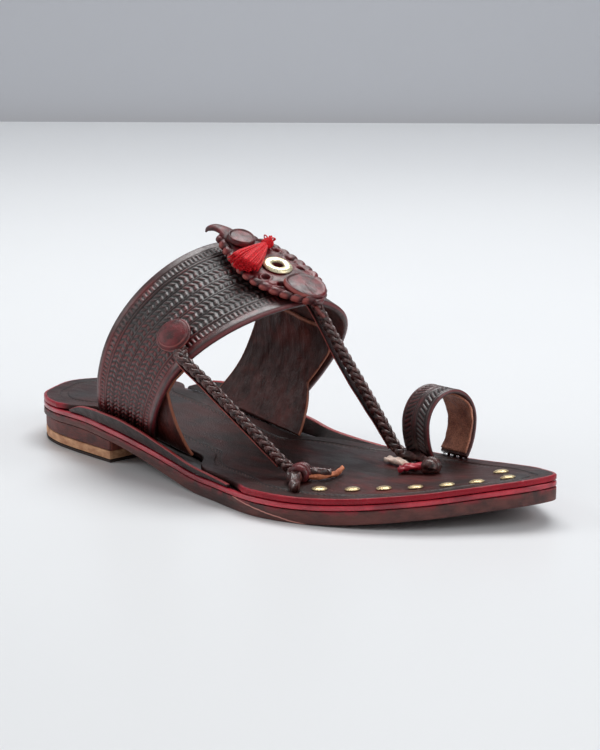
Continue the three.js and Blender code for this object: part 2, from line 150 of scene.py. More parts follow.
def run_along(path):
    """Length along a path at each of its points."""
    return np.concatenate([[0], np.cumsum(np.linalg.norm(np.diff(path, axis=0), axis=1))])


def bell(x, middle, width):
    return np.exp(-((x - middle) / width) ** 2)


def full_turn(count):
    return np.linspace(0, 2 * math.pi, count, endpoint=False)


def noise(points, scale, seed=0):
    """Soft repeatable waviness between about -1 and 1, as a sum of sine waves in many directions."""
    source = np.random.default_rng(seed)
    total = np.zeros(points.shape[:-1])
    for _ in range(9):
        direction = source.normal(size=3)
        direction *= source.uniform(0.6, 1.6) / np.linalg.norm(direction)
        total += np.sin(points @ direction * (2 * math.pi / scale) + source.uniform(0, 6.28))
    return total / 4.5


# ---- meshes

WELD = 0.004
THREAD_WELD = 0.0005


class Piece:
    """Collects grids of points and turns them into one Blender object."""

    def __init__(self):
        self.points = []
        self.faces = []
        self.values = {}
        self.count = 0

    def grid(self, points, wrap_rows=False, wrap_columns=True, cap=True, **values):
        """Adds a grid of points [row, column, xyz]; values are named numbers for each point."""
        rows, columns = points.shape[:2]
        index = self.count + np.arange(rows * columns).reshape(rows, columns)
        down = np.roll(index, -1, 0) if wrap_rows else index[1:]
        here = index if wrap_rows else index[:-1]
        if wrap_columns:
            quads = np.stack([here, down, np.roll(down, -1, 1), np.roll(here, -1, 1)], -1)
        else:
            quads = np.stack([here[:, :-1], down[:, :-1], down[:, 1:], here[:, 1:]], -1)
        self.faces += quads.reshape(-1, 4).tolist()
        if cap:
            self.faces += [index[0][::-1].tolist(), index[-1].tolist()]
        self.points.append(points.reshape(-1, 3))
        for name in {**self.values, **values}:
            held = self.values.setdefault(name, [np.zeros(self.count)])
            held.append(np.broadcast_to(np.asarray(values.get(name, 0.0), float), (rows, columns)).ravel())
        self.count += rows * columns
        return self

    def build(self, name, material, weld=WELD):
        points = np.concatenate(self.points) - [HEEL_MIDDLE, 0, 0]
        mesh = bpy.data.meshes.new(name)
        mesh.from_pydata((points / 1000).tolist(), [], self.faces)
        for key, parts in self.values.items():
            attribute = mesh.attributes.new(key, "FLOAT", "POINT")
            attribute.data.foreach_set("value", np.concatenate(parts).astype(np.float32))
        mesh.materials.append(material)
        work = bmesh.new()
        work.from_mesh(mesh)
        bmesh.ops.remove_doubles(work, verts=work.verts, dist=weld / 1000)
        bmesh.ops.recalc_face_normals(work, faces=work.faces)
        work.to_mesh(mesh)
        work.free()
        mesh.polygons.foreach_set("use_smooth", [True] * len(mesh.polygons))
        piece = bpy.data.objects.new(name, mesh)
        bpy.context.scene.collection.objects.link(piece)
        return piece


def complete(grids, name, look, slot, node, weld=WELD):
    """Builds a piece and puts it on the sandal in place of its CAD node, if any; its slot is not used."""
    piece = grids.build(name, looks[look], weld)
    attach(piece, "root")
    if node:
        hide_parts(node)


def shell(name, look, slot, node, points, cap=True, **values):
    """Whole piece from one ring grid."""
    complete(Piece().grid(points, cap=cap, **values), name, look, slot, node)


def slab(face, rows, columns):
    """Ring grid round a thin sheet, and its a and b: face(a, b, side) is a face, side 1 out and -1 in."""
    a = np.linspace(0, 1, rows)[:, None]
    b = np.linspace(0, 1, columns)[None, :]
    ring = np.concatenate([face(a, b, 1), face(a, b[:, ::-1], -1)], 1)
    across = np.concatenate([b, b[:, ::-1]], 1) * np.ones_like(a)
    return ring, a * np.ones_like(across), across


def tube(path, radius, sides=8, closed=False, flat=1.0, normal=(0, 0, 1)):
    """Ring grid round a path; flat squeezes it along the given normal."""
    path = np.asarray(path, float)
    step = np.roll(path, -1, 0) - np.roll(path, 1, 0) if closed else np.gradient(path, axis=0)
    tangent = unit(step)
    side = unit(np.cross(np.broadcast_to(np.asarray(normal, float), path.shape), tangent))
    up = np.cross(tangent, side)
    turn = full_turn(sides)
    radius = np.broadcast_to(np.asarray(radius, float), (len(path),))[:, None, None]
    ring = side[:, None] * np.cos(turn)[None, :, None] + flat * up[:, None] * np.sin(turn)[None, :, None]
    return path[:, None] + radius * ring


def turned(profile, segments):
    """Grid [profile, segment] turned round +Z from pairs of radius and height."""
    profile = np.asarray(profile, float)
    angle = full_turn(segments)[None, :]
    radius = profile[:, :1]
    return vectors(radius * np.cos(angle), radius * np.sin(angle), profile[:, 1:])


def placed(points, origin, x_axis, y_axis, z_axis):
    """Moves points from a local frame to the design frame."""
    axes = np.stack([unit(np.asarray(axis, float)) for axis in (x_axis, y_axis, z_axis)])
    return np.asarray(origin, float) + points @ axes


def rounded_box(turn, across, up):
    """Section between an ellipse and a box; the powers are below 1, and the smaller the squarer."""
    wide = np.sign(np.cos(turn)) * np.abs(np.cos(turn)) ** across
    high = np.sign(np.sin(turn)) * np.abs(np.sin(turn)) ** up
    return wide, high


# ---- sole shapes, as in the CAD source

def round_angle(x):
    return np.arccos(np.clip(1 - 2 * np.asarray(x, float) / LENGTH, -1, 1))


STATIONS = [dict(row, angle=float(round_angle(row["x"]))) for row in OUTLINE]
outer_width = column(STATIONS, "outer", "angle")
inner_width = column(STATIONS, "inner", "angle")
smooth_bed = column(FOOT_BED, "z")
slot_depth = column(EAR_SLOT, "depth")
lip_rise = column(LIP, "height")


def edge_y(x, side):
    angle = round_angle(x)
    return np.where(np.asarray(side) < 0, -outer_width(angle), inner_width(angle))


def foot_bed(x):
    return np.maximum(TREAD_HEIGHT, smooth_bed(x))


def insole_bottom(x):
    return foot_bed(x) - INSOLE_THICKNESS


def midsole_top(x):
    return insole_bottom(x) - GAP


def midsole_bottom(x):
    return midsole_top(x) - MIDSOLE_THICKNESS


def outsole_top(x):
    return midsole_bottom(x) - GAP


def outsole_bottom(x):
    full = TREAD_HEIGHT - INSOLE_THICKNESS - MIDSOLE_THICKNESS - 2 * GAP
    grown = smoothstep(x, OUTSOLE["taper_from"], OUTSOLE["taper_to"])
    return outsole_top(x) - lerp(OUTSOLE["heel"], full, grown)


def slot_floor(x):
    return midsole_top(x) + GAP


SOLE_POINTS = 700
SOLE_SPINE = (34, 250)
HEEL_POINTS = 150
HEEL_SPINE = (36, 60)
BREAST_POINTS = 40
HEEL_ROUNDING = 8
TOE_ROUNDED = (270, 280)
ROUNDING_REACH = 30


def sole_loop():
    """x and side of points round the sole, from the heel's back along the outer edge."""
    angle = np.linspace(0, math.pi, SOLE_POINTS + 1)
    angle = np.concatenate([angle, angle[-2:0:-1]])
    side = np.concatenate([-np.ones(SOLE_POINTS + 1), np.ones(SOLE_POINTS - 1)])
    return LENGTH * (1 - np.cos(angle)) / 2, side


def heel_loop():
    """x and y of points round a heel piece, which follows the sole and is cut straight at the breast."""
    back, breast = HEEL["back"], HEEL["breast"]
    x = back + (breast - back) * (1 - np.cos(np.linspace(0, math.pi / 2, HEEL_POINTS)))
    across = np.linspace(-1, 1, BREAST_POINTS + 2)[1:-1]
    x = np.concatenate([x, np.full(BREAST_POINTS, float(breast)), x[:0:-1]])
    side = np.concatenate([-np.ones(HEEL_POINTS), across, np.ones(HEEL_POINTS - 1)])
    above = breast * (x - back) / (breast - back)
    inset = HEEL["inset"] * np.sqrt(np.clip(above / HEEL_ROUNDING, 0, 1))
    return x, lerp(edge_y(above, -1) + inset, edge_y(above, 1) - inset, (side + 1) / 2)


def round_toe(x, edge):
    """Smooths the outline's corners near the toe."""
    kernel = np.exp(-np.linspace(-2, 2, 2 * ROUNDING_REACH + 1) ** 2)
    wrapped = np.concatenate([edge[-ROUNDING_REACH:], edge, edge[:ROUNDING_REACH]])
    rounded = np.stack([np.convolve(wrapped[:, k], kernel / kernel.sum(), "valid") for k in (0, 1)], -1)
    return lerp(edge, rounded, smoothstep(x, *TOE_ROUNDED)[:, None])


def layered(x, y, spine, top, bottom, rings, soft, wobble, relief=None, paint=1.0):
    """Grid of a closed layer, and its values.

    The edge's points are (x, y), and its upper and lower edges are rounded over `soft`. Rings of points
    run in from it, at the distances `rings`, to a spine along x. The values are the distance in from the
    edge (d), the length along it (s), the share of the height (h) and the share of paint.
    """
    low, high = spine
    middle = (edge_y(np.clip(x, low, high), 1) + edge_y(np.clip(x, low, high), -1)) / 2
    target = np.stack([np.clip(x, low, high), middle], -1)
    edge = round_toe(x, np.stack([x, y], -1))
    run = np.concatenate([[0], np.cumsum(np.linalg.norm(np.roll(edge, -1, 0) - edge, axis=1))[:-1]])
    reach = np.linalg.norm(target - edge, axis=1)
    corner = [(soft * (1 - math.sin(a)), soft * (1 - math.cos(a))) for a in np.linspace(0, math.pi / 2, 6)]
    rows = [(d, 1.0, 0.0) for d in rings[::-1]]
    rows += [(d, 1.0, -drop) for d, drop in corner]
    rows += [(d, 0.0, drop) for d, drop in corner[::-1]]
    rows += [(d, 0.0, 0.0) for d in [*rings[:-1:3], rings[-1]]]
    points, depth, height = [], [], []
    for d, level, lift in rows:
        share = np.clip(d / np.maximum(reach, 1e-6), 0, 1)[:, None] if d < rings[-1] else 1.0
        flat = edge + (target - edge) * share
        here = vectors(*flat.T, lerp(bottom(flat[:, 0]), top(flat[:, 0]), level) + lift)
        if level and relief:
            here[:, 2] += relief(np.minimum(d, reach), here)
        if d <= soft:
            here[:, :2] += wobble * noise(here, 14, 3)[:, None] * unit(target - edge) * (1 - d / soft)
        points.append(here)
        depth.append(np.minimum(d, reach))
        height.append(np.full(len(x), level + lift / np.maximum(np.mean(top(x) - bottom(x)), 0.1)))
    return np.array(points), dict(d=np.array(depth), s=run, h=np.array(height), paint=paint)


# ---- upper shapes, as in the CAD source

def band_edge(edge, t):
    """Front or rear edge of the band's outside, from the outer foot (t = 0) to the inner foot (t = 1)."""
    hand = np.where(t < 0.5, -1, 1)
    half = np.where(hand < 0, edge["outer"], edge["inner"])
    below = np.where(hand < 0, edge["outer_low"], edge["inner_low"])
    foot_x = edge["foot"] + edge["slope"] * BAND_FOOT_Z + np.where(hand > 0, BAND_INNER_ADVANCE, 0)
    drop = np.arcsin((edge["centre_z"] - slot_floor(foot_x)) / below)
    angle = lerp(-drop, math.pi / 2, 1 - np.abs(1 - 2 * t))
    y = BAND_CREST_Y + hand * half * np.cos(angle)
    z = edge["centre_z"] + np.where(angle > 0, edge["above"], below) * np.sin(angle)
    inwards = np.clip((y - BAND_CREST_Y) / edge["inner"], 0, 1)
    x = edge["foot"] + edge["slope"] * z + BAND_INNER_ADVANCE * smoothstep(inwards, 0, BAND_ADVANCED_FROM)
    return vectors(x, y, z)


def band_face(s, t):
    """Outside of the band; s runs from its rear edge to its front edge."""
    s, t = np.broadcast_arrays(np.asarray(s, float), np.asarray(t, float))
    rear = band_edge(BAND_REAR, t)
    return rear + (band_edge(BAND_FRONT, t) - rear) * s[..., None]


def band_normal(s, t):
    s, t = np.broadcast_arrays(np.asarray(s, float), np.asarray(t, float))
    lower = np.clip(t - NORMAL_STEP, 0, 1 - 2 * NORMAL_STEP)
    along = band_face(s, lower + 2 * NORMAL_STEP) - band_face(s, lower)
    across = band_edge(BAND_FRONT, t) - band_edge(BAND_REAR, t)
    return unit(np.cross(across, along))


def band_point(s, t, depth):
    """Point at a depth under the band's outside, kept above the slot's floor."""
    point = band_face(s, t) - band_normal(s, t) * np.asarray(depth, float)[..., None]
    point[..., 2] = np.maximum(point[..., 2], slot_floor(point[..., 0]))
    return point


def ring_point(a, b, depth):
    """Toe ring: a runs over the loop from foot to foot, b across its width."""
    yaw = math.radians(RING["yaw"])
    axis = np.array([math.cos(yaw), math.sin(yaw)])
    across = np.array([-axis[1], axis[0]])
    a, b, depth = np.broadcast_arrays(np.asarray(a, float), b, depth)
    drop = math.asin(RING["centre"] / RING["below"])
    angle = lerp(-drop, math.pi + drop, a)
    reach = np.where(np.sin(angle) > 0, RING["above"], RING["below"]) - depth
    out = (RING["half"] - depth) * np.cos(angle)
    flat = [RING["x"], RING["y"]] + axis * (RING["width"] * (b - 0.5))[..., None] + across * out[..., None]
    bed = foot_bed(flat[..., 0]) + GAP
    z = np.maximum(bed + RING["centre"] + reach * np.sin(angle), bed)
    return vectors(flat[..., 0], flat[..., 1], z)


ORNAMENT_TURN = np.array(
    Matrix.Rotation(math.radians(ORNAMENT["pitch"]), 3, "Y")
    @ Matrix.Rotation(math.radians(ORNAMENT["roll"]), 3, "X")
)
ORNAMENT_U, ORNAMENT_V, ORNAMENT_N = ORNAMENT_TURN.T
ORNAMENT_ORIGIN = np.array([ORNAMENT["x"], ORNAMENT["y"], ORNAMENT["z"]], float)


def ornament_point(u, v, n):
    """Ornament: u points to the toe, v to the inner side and n up, and it bends down to both sides."""
    u, v, n = np.broadcast_arrays(np.asarray(u, float), v, n)
    n = n - v * v / (2 * ORNAMENT["bend"])
    u, v, n = u[..., None], v[..., None], n[..., None]
    return ORNAMENT_ORIGIN + u * ORNAMENT_U + v * ORNAMENT_V + n * ORNAMENT_N


def on_ornament(points, u, v, n):
    """Sets local points on the ornament at (u, v), with local z along the surface's normal."""
    normal = unit(ORNAMENT_N + ORNAMENT_V * v / ORNAMENT["bend"])
    side = unit(ORNAMENT_U - normal * (ORNAMENT_U @ normal))
    return placed(points, ornament_point(u, v, n), side, np.cross(normal, side), normal)


# ---- looks

class Look:
    """Node material with short calls for the nodes that it uses; lengths are in millimetres."""

    def __init__(self, name, **sockets):
        self.material = bpy.data.materials.new(name)
        self.material.use_nodes = True
        self.tree = self.material.node_tree
        self.shader = self.tree.nodes["Principled BSDF"]
        self.coordinates = self.tree.nodes.new("ShaderNodeTexCoord").outputs["Object"]
        for socket, value in sockets.items():
            self.shader.inputs[socket.replace("_", " ")].default_value = value

    def node(self, kind, settings=None, inputs=None):
        made = self.tree.nodes.new("ShaderNode" + kind)
        for key, value in (settings or {}).items():
            setattr(made, key, value)
        for key, value in (inputs or {}).items():
            if isinstance(value, bpy.types.NodeSocket):
                self.tree.links.new(value, made.inputs[key])
            else:
                made.inputs[key].default_value = value
        return made

    def value(self, name):
        return self.node("Attribute", dict(attribute_name=name)).outputs["Fac"]

    def math(self, operation, *values):
        return self.node("Math", dict(operation=operation), dict(enumerate(values))).outputs[0]

    def times(self, *values):
        return reduce(lambda a, b: self.math("MULTIPLY", a, b), values)

    def plus(self, a, b):
        return self.math("ADD", a, b)

    def away(self, value, middle):
        """Distance of a value from a middle."""
        return self.math("ABSOLUTE", self.math("SUBTRACT", value, middle))

    def blend(self, amount, first, second):
        inputs = {0: amount, 6: self.colour(first), 7: self.colour(second)}
        return self.node("Mix", dict(data_type="RGBA"), inputs).outputs[2]

    def over(self, colour, paint, *masks):
        """The colour with paint over it, as strong as the product of the masks."""
        return self.blend(self.times(*masks), colour, paint)

    @staticmethod
    def colour(value):
        return (*(srgb(c) for c in value), 1.0) if isinstance(value, tuple) else value

    def step(self, value, low, high, start=0.0, end=1.0):
        inputs = {"Value": value, "From Min": low, "From Max": high, "To Min": start, "To Max": end}
        return self.node("MapRange", dict(interpolation_type="SMOOTHSTEP"), inputs).outputs["Result"]

    def noise(self, size, detail=3.0, roughness=0.55, stretch=(1, 1, 1), seed=0.0):
        spot = self.node("Mapping", None, {
            "Vector": self.coordinates,
            "Scale": tuple(1000 / (size * s) for s in stretch),
            "Location": (seed, seed * 1.7, seed * 0.6),
        }).outputs[0]
        inputs = {"Vector": spot, "Scale": 1.0, "Detail": detail, "Roughness": roughness}
        return self.node("TexNoise", None, inputs).outputs["Fac"]

    def pores(self, size):
        inputs = {"Vector": self.coordinates, "Scale": 1000 / size}
        return self.node("TexVoronoi", dict(feature="DISTANCE_TO_EDGE"), inputs).outputs["Distance"]

    def place(self, axis):
        return self.node("SeparateXYZ", None, {0: self.coordinates}).outputs[axis]

    def bump(self, height, depth, normal=None):
        """Fine relief of the given depth in millimetres."""
        inputs = {"Height": height, "Distance": depth / 1000, "Strength": 1.0}
        if normal is not None:
            inputs["Normal"] = normal
        return self.node("Bump", None, inputs).outputs["Normal"]

    def grain(self, depth=0.12, size=0.9):
        """Leather's fine grain: small cells broken up by creases."""
        cells = self.step(self.pores(size), 0.0, 0.35)
        return self.bump(self.times(cells, self.noise(size * 3, 4)), depth)

    def finish(self, colour, roughness, normal):
        for socket, value in {"Base Color": colour, "Roughness": roughness, "Normal": normal}.items():
            self.tree.links.new(value, self.shader.inputs[socket])
        return self.material


def srgb(c):
    c = c / 255
    return c / 12.92 if c <= 0.04045 else ((c + 0.055) / 1.055) ** 2.4


def leather(name, dark, light, worn, rough=(0.34, 0.58), wear=0.55, spot=9, coat=0.12, rim=None, crease=0.0,
            gloss=0.5):
    """Dyed leather: mottled between two colours, rubbed to a worn colour in patches, fine grained.

    rim is where another colour starts and is full on the attribute of that name, and that colour.
    """
    look = Look(name, Coat_Weight=coat, Coat_Roughness=0.32, Specular_IOR_Level=gloss)
    colour = look.blend(look.step(look.noise(spot, 5, 0.62), 0.36, 0.66), dark, light)
    rubbed = look.step(look.noise(spot * 0.8, 6, 0.7, seed=4.0), wear, wear + 0.2)
    colour = look.over(colour, worn, rubbed, 0.6)
    if rim:
        low, high, edge_colour = rim
        colour = look.over(colour, edge_colour, look.step(look.value("rim"), low, high))
    roughness = look.step(look.noise(3.5, 4, seed=2.0), 0.3, 0.7, *rough)
    normal = look.grain()
    if crease:
        folds = look.noise(5, 4, 0.6, (1, 1, 5), 7.0)
        # Painted shade: the dark colour fills the hollows of the folds.
        colour = look.over(colour, dark, look.step(folds, 0.48, 0.3))
        normal = look.bump(folds, crease, normal)
    return look.finish(colour, roughness, normal)


def band_look(name, seed=0.0):
    """Tooled leather: painted shade darkens the stamped hollows, and pale grey painted reflection streaks
    the raised leaves low on the outer side.
    """
    look = Look(name, Coat_Weight=0.34, Coat_Roughness=0.26)
    mottle = look.plus(look.noise(14, 5, 0.6, seed=seed), look.times(look.value("mid"), 0.45))
    mottle = look.step(mottle, 0.46, 0.72)
    raised = look.blend(mottle, (54, 27, 27), (106, 26, 28))
    # Colour for the stamped hollows: painted shade, much darker than the raised leather.
    hollow = look.blend(mottle, (13, 6, 6), (42, 9, 10))
    colour = look.blend(look.step(look.value("relief"), 0.25, 0.8), hollow, raised)
    # Pale grey streaks on the raised leaves low on the outer side: painted reflection.
    pale_streaks = look.step(look.noise(2.2, 6, 0.7, (1, 1, 5)), 0.52, 0.66)
    foot = look.step(look.value("low"), 0.45, 1.0)
    colour = look.over(colour, (128, 116, 118), pale_streaks, foot, look.value("relief"), 0.75)
    colour = look.over(colour, (60, 32, 34), look.step(look.value("margin"), 0.0, 0.8))
    colour = look.over(colour, (104, 34, 38), look.step(look.value("margin"), 0.93, 1.0))
    inner = look.blend(look.step(look.noise(9, 6, 0.65, seed=3.0), 0.35, 0.65), (46, 19, 16), (92, 38, 32))
    colour = look.over(colour, inner, look.value("inside"))
    roughness = look.step(look.noise(2.6, 5, seed=1.0), 0.3, 0.72, 0.3, 0.55)
    roughness = look.plus(roughness, look.times(look.value("inside"), 0.25))
    return look.finish(colour, roughness, look.grain(0.1, 0.7))


STRIP = dict(middle=9.5, half=1.9, slope=0.5, pitch=2.4, width=3.4, slant=0.7)


def stamped_strip(look, along, across):
    """Row of slanted strokes, stamped in pairs that meet in the middle: 1 on a stroke and 0 between."""
    lean = look.times(look.math("ABSOLUTE", across), STRIP["slant"] * 2)
    wave = look.math("SINE", look.times(look.plus(along, lean), 2 * math.pi / STRIP["pitch"]))
    half = STRIP["width"] / 2
    inside = look.step(look.math("ABSOLUTE", across), half, half - 0.4)
    return look.times(look.step(wave, -0.3, 0.5), inside)


def insole_look():
    """Near-black foot bed with a tooled strip near its rim, red foot wear and a painted red edge."""
    look = Look("insole_leather", Coat_Weight=0.05, Coat_Roughness=0.3, Specular_IOR_Level=0.22)
    inset = look.value("d")
    colour = look.blend(look.step(look.noise(22, 6, 0.6), 0.38, 0.66), (26, 10, 8), (60, 19, 16))
    worn = look.step(look.noise(30, 6, 0.72, (2.2, 1, 1), 5.0), 0.5, 0.72)
    colour = look.over(colour, (100, 24, 19), worn, look.step(inset, 6, 22))
    pale_streaks = look.step(look.noise(5, 8, 0.75, (4, 1, 1), 2.0), 0.6, 0.78)
    colour = look.over(colour, (108, 76, 70), pale_streaks, 0.3)
    strokes = stamped_strip(look, look.value("s"), look.math("SUBTRACT", inset, STRIP["middle"]))
    colour = look.over(colour, (18, 11, 11), look.step(look.away(inset, STRIP["middle"]), 2.2, 1.8), 0.75)
    colour = look.over(colour, (92, 62, 58), strokes, 0.7)
    ragged = look.plus(inset, look.times(look.noise(3, 4), 1.3))
    edge = look.times(look.step(ragged, 2.3, 1.7), look.value("paint"))
    colour = look.over(colour, look.blend(look.noise(7, 4), (112, 12, 26), (176, 30, 48)), edge)
    roughness = look.step(look.noise(8, 6, 0.7, (3, 1, 1)), 0.3, 0.7, 0.36, 0.6)
    roughness = look.times(roughness, look.step(edge, 0, 1, 1, 0.7))
    return look.finish(colour, roughness, look.bump(strokes, 0.4, look.grain(0.14, 1.1)))


def edge_look():
    """Red painted leather edge, rubbed pale in streaks; dark leather further in."""
    look = Look("edge_leather", Coat_Weight=0.45, Coat_Roughness=0.18)
    paint = look.step(look.noise(9, 5, 0.6, (3, 1, 1)), 0.35, 0.68)
    colour = look.blend(paint, (136, 20, 38), (204, 48, 66))
    bare = look.step(look.noise(2.4, 6, 0.7, (5, 1, 1), 3.0), 0.63, 0.75)
    colour = look.over(colour, (222, 120, 122), bare, 0.6)
    colour = look.over(colour, (30, 18, 17), look.step(look.value("d"), 0.9, 1.6))
    fibre = look.noise(0.7, 4, 0.7, (6, 6, 1))
    return look.finish(colour, look.step(fibre, 0.2, 0.8, 0.26, 0.46), look.bump(fibre, 0.14))


# The outsole's leather is spliced at a slant on its outer edge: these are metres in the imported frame.
SPLICE = dict(x=0.1815, lean=7.2, ragged=0.006, dark=0.0022, pale=0.0012, side=(-0.03, -0.04))


def outsole_look():
    """Brown outsole edge: fibrous, rubbed paler in streaks, with a reddish stain from the paint above."""
    look = Look("outsole_leather", Coat_Weight=0.1, Coat_Roughness=0.4)
    base = look.step(look.noise(12, 6, 0.65, (3, 1, 1)), 0.36, 0.66)
    colour = look.blend(base, (54, 28, 26), (104, 54, 48))
    stain = look.step(look.value("h"), 0.55, 1.0)
    colour = look.over(colour, (140, 30, 44), stain, look.step(look.noise(5, 5, seed=2.0), 0.4, 0.6), 0.8)
    rub = look.step(look.noise(3, 7, 0.75, (7, 1, 0.6), 6.0), 0.6, 0.74)
    colour = look.over(colour, (156, 122, 112), rub, 0.45)
    leaning = look.math("MULTIPLY_ADD", look.place("Z"), SPLICE["lean"], look.place("X"))
    spot = look.plus(leaning, look.times(look.noise(4, 4), SPLICE["ragged"]))
    line = look.step(look.away(spot, SPLICE["x"]), SPLICE["dark"], SPLICE["pale"])
    colour = look.over(colour, (206, 140, 128), line, look.step(look.place("Y"), *SPLICE["side"]))
    fibre = look.noise(0.9, 5, 0.7, (7, 7, 1))
    return look.finish(colour, look.step(fibre, 0.2, 0.8, 0.42, 0.7), look.bump(fibre, 0.2))


def raw_look(name, dark, light, rough=0.8, stretch=(5, 5, 1), size=0.8, sheen=0.0):
    """Undyed cut leather: layered fibres and a matt nap."""
    look = Look(name, Sheen_Weight=sheen, Sheen_Roughness=0.5)
    fibre = look.noise(size, 6, 0.7, stretch)
    share = look.plus(look.times(fibre, 0.5), look.times(look.noise(9, 5, 0.6, seed=1.0), 0.5))
    colour = look.blend(look.step(share, 0.36, 0.62), dark, light)
    return look.finish(colour, look.step(fibre, 0.2, 0.8, rough - 0.15, rough), look.bump(fibre, 0.25))


def brass_look(name, base, deep, metal):
    look = Look(name, Metallic=metal)
    colour = look.blend(look.step(look.noise(2.5, 6, 0.7), 0.45, 0.7), base, deep)
    scratches = look.noise(0.5, 3, 0.6, (1, 8, 1))
    return look.finish(colour, look.step(scratches, 0.2, 0.8, 0.2, 0.42), look.bump(scratches, 0.03))


def thread_look():
    """Silky red thread, each strand a slightly different red, with painted shade darkening it towards its
    root.
    """
    look = Look("tassel_thread", Sheen_Weight=0.12, Sheen_Roughness=0.4, Specular_IOR_Level=0.3)
    colour = look.blend(look.step(look.noise(0.8, 3, 0.6), 0.3, 0.7), (176, 2, 16), (240, 12, 34))
    # Painted shade towards the root, where the strands crowd into the knot.
    colour = look.over(colour, (132, 2, 16), look.step(look.value("root"), 0.35, 0.0))
    twist = look.noise(0.25, 2)
    return look.finish(colour, look.step(twist, 0.2, 0.8, 0.42, 0.65), look.bump(twist, 0.05))


looks = dict(
    insole=insole_look(),
    edge=edge_look(),
    outsole=outsole_look(),
    band=band_look("band_leather"),
    ring=band_look("ring_leather", 2.0),
    wing=leather("wing_leather", (50, 18, 15), (96, 35, 29), (120, 58, 48), (0.42, 0.62), spot=24,
                 coat=0.05, rim=(0.3, 0.9, (150, 88, 66)), crease=1.6, gloss=0.35),
    lip=leather("lip_leather", (20, 14, 14), (44, 26, 26), (98, 74, 70), rim=(0.25, 0.8, (158, 48, 50))),
    # Its rim colour is the tan of cut edges, and a painted highlight on the medallion's laced bumps.
    maroon=leather("ornament_leather", (54, 10, 14), (114, 21, 29), (120, 46, 48), (0.34, 0.52), spot=6,
                   coat=0.2, rim=(0.3, 1.0, (160, 76, 70))),
    thong=leather("thong_leather", (34, 16, 15), (82, 34, 31), (140, 108, 102), (0.28, 0.46),
                  0.48, 2.2, 0.3),
    backing=leather("backing_leather", (34, 13, 13), (74, 26, 24), (112, 60, 50),
                    rim=(0.5, 1.0, (150, 60, 50))),
    lift=raw_look("natural_leather", (176, 118, 86), (222, 172, 132), 0.8, (4, 4, 1.6), 1.3),
    tap=raw_look("tap_leather", (26, 18, 16), (58, 42, 38)),
    heel=raw_look("heel_leather", (62, 25, 23), (114, 54, 48), 0.65),
    breast=raw_look("breast_leather", (96, 42, 34), (150, 76, 58), 0.75, (5, 5, 1.2)),
    suede=raw_look("suede_leather", (128, 66, 48), (222, 150, 120), 0.95, (1, 1, 1), 0.55, 0.3),
    tan=raw_look("tail_leather", (160, 84, 54), (222, 140, 100), 0.75, (1, 1, 1), 1.2),
    cream=raw_look("cream_leather", (222, 176, 156), (252, 236, 222), 0.7, (1, 1, 1), 1.2),
    brass=brass_look("rivet_brass", (226, 206, 160), (168, 134, 92), 0.75),
    eyelet=brass_look("eyelet_brass", (246, 240, 206), (206, 190, 140), 0.6),
    thread=thread_look(),
)


# ---- sole

INSOLE_RINGS = np.concatenate([
    np.linspace(0.9, 2.6, 6), np.linspace(3.4, 7.2, 5), np.linspace(7.6, 11.6, 13),
    [13, 15, 18, 22, 27, 33, 200],
])
SOLE_RINGS = [0.7, 2, 6, 14, 200]
HEEL_RINGS = [0.5, 2, 8, 200]


def foot_wear(d, here):
    """Relief of the insole: the pressed strip near its rim, and a shallow uneven print inside it."""
    strip = smoothstep(np.abs(d - STRIP["middle"]), STRIP["half"], STRIP["half"] - STRIP["slope"])
    worn = 0.35 * smoothstep(d, 6, 26) * (0.6 + 0.4 * noise(here, 60, 5))
    return -0.35 * strip - worn


def sole_pieces():
    x, side = sole_loop()
    inset = slot_depth(x)
    points, values = layered(
        x, edge_y(x, side) - side * inset, SOLE_SPINE, foot_bed, insole_bottom, INSOLE_RINGS, 0.8, 0.12,
        foot_wear, 1 - smoothstep(inset, 0.4, 2.5),
    )
    shell("insole_leather", "insole", "insole_leather", "insole", points, cap=False, **values)

    y = edge_y(x, side)
    points, values = layered(x, y, SOLE_SPINE, midsole_top, midsole_bottom, SOLE_RINGS, 0.55, 0.15)
    shell("midsole_edge", "edge", "edge_leather", "midsole", points, cap=False, **values)
    points, values = layered(x, y, SOLE_SPINE, outsole_top, outsole_bottom, SOLE_RINGS, 0.5, 0.2)
    shell("outsole_edge", "outsole", "outsole_leather", "outsole", points, cap=False, **values)


def heel_pieces():
    def stack_top(x):
        return outsole_bottom(x) - GAP

    def level(height):
        return lambda x: height + 0 * x

    lift, tap = HEEL["lift_top"], HEEL["tap_top"]
    layers = [
        ("heel_stack", "heel", "outsole_leather", "heel_block", stack_top, level(lift + GAP)),
        ("heel_top_lift", "lift", "natural_leather", "heel_lift", level(lift), level(tap + GAP)),
        ("heel_rubbing_tap", "tap", "tap_leather", "heel_tap", level(tap), level(0)),
    ]
    x, y = heel_loop()
    for name, look, slot, node, top, bottom in layers:
        points, values = layered(x, y, HEEL_SPINE, top, bottom, HEEL_RINGS, 0.35, 0.22)
        shell(name, look, slot, node, points, cap=False, **values)

    # A thin skin covers the breast, which is redder than the sides of the heel.
    breast = float(HEEL["breast"])
    a = np.linspace(0, 1, 60)[:, None]
    b = np.linspace(0, 1, 16)[None, :]
    y = lerp(edge_y(breast, -1) + 1.2, edge_y(breast, 1) - 1.2, a)
    face = vectors(breast + 0.25, y, lerp(lift + GAP, stack_top(breast), b))
    face[..., 0] += 0.15 * noise(face, 6, 8)
    back = face[:, ::-1] - [0.5, 0, 0]
    shell("heel_breast_skin", "breast", "outsole_leather", None, np.concatenate([face, back], 1))


# ---- band, ears and toe ring

WHEAT = dict(rows=5, start=9.5, width=7.0, pitch=2.75, lean=0.62)
DASH_PITCH = 2.2
BAND_DASHES = [(6.4, 1.5, 0.1), (47.6, 1.5, 0.1)]
RING_DASHES = [(4.4, 2.0, 0.26), (12.4, 2.0, -0.26)]
BAND_RELIEF = 0.55
RING_RELIEF = 0.4
RING_SUNK = 0.7


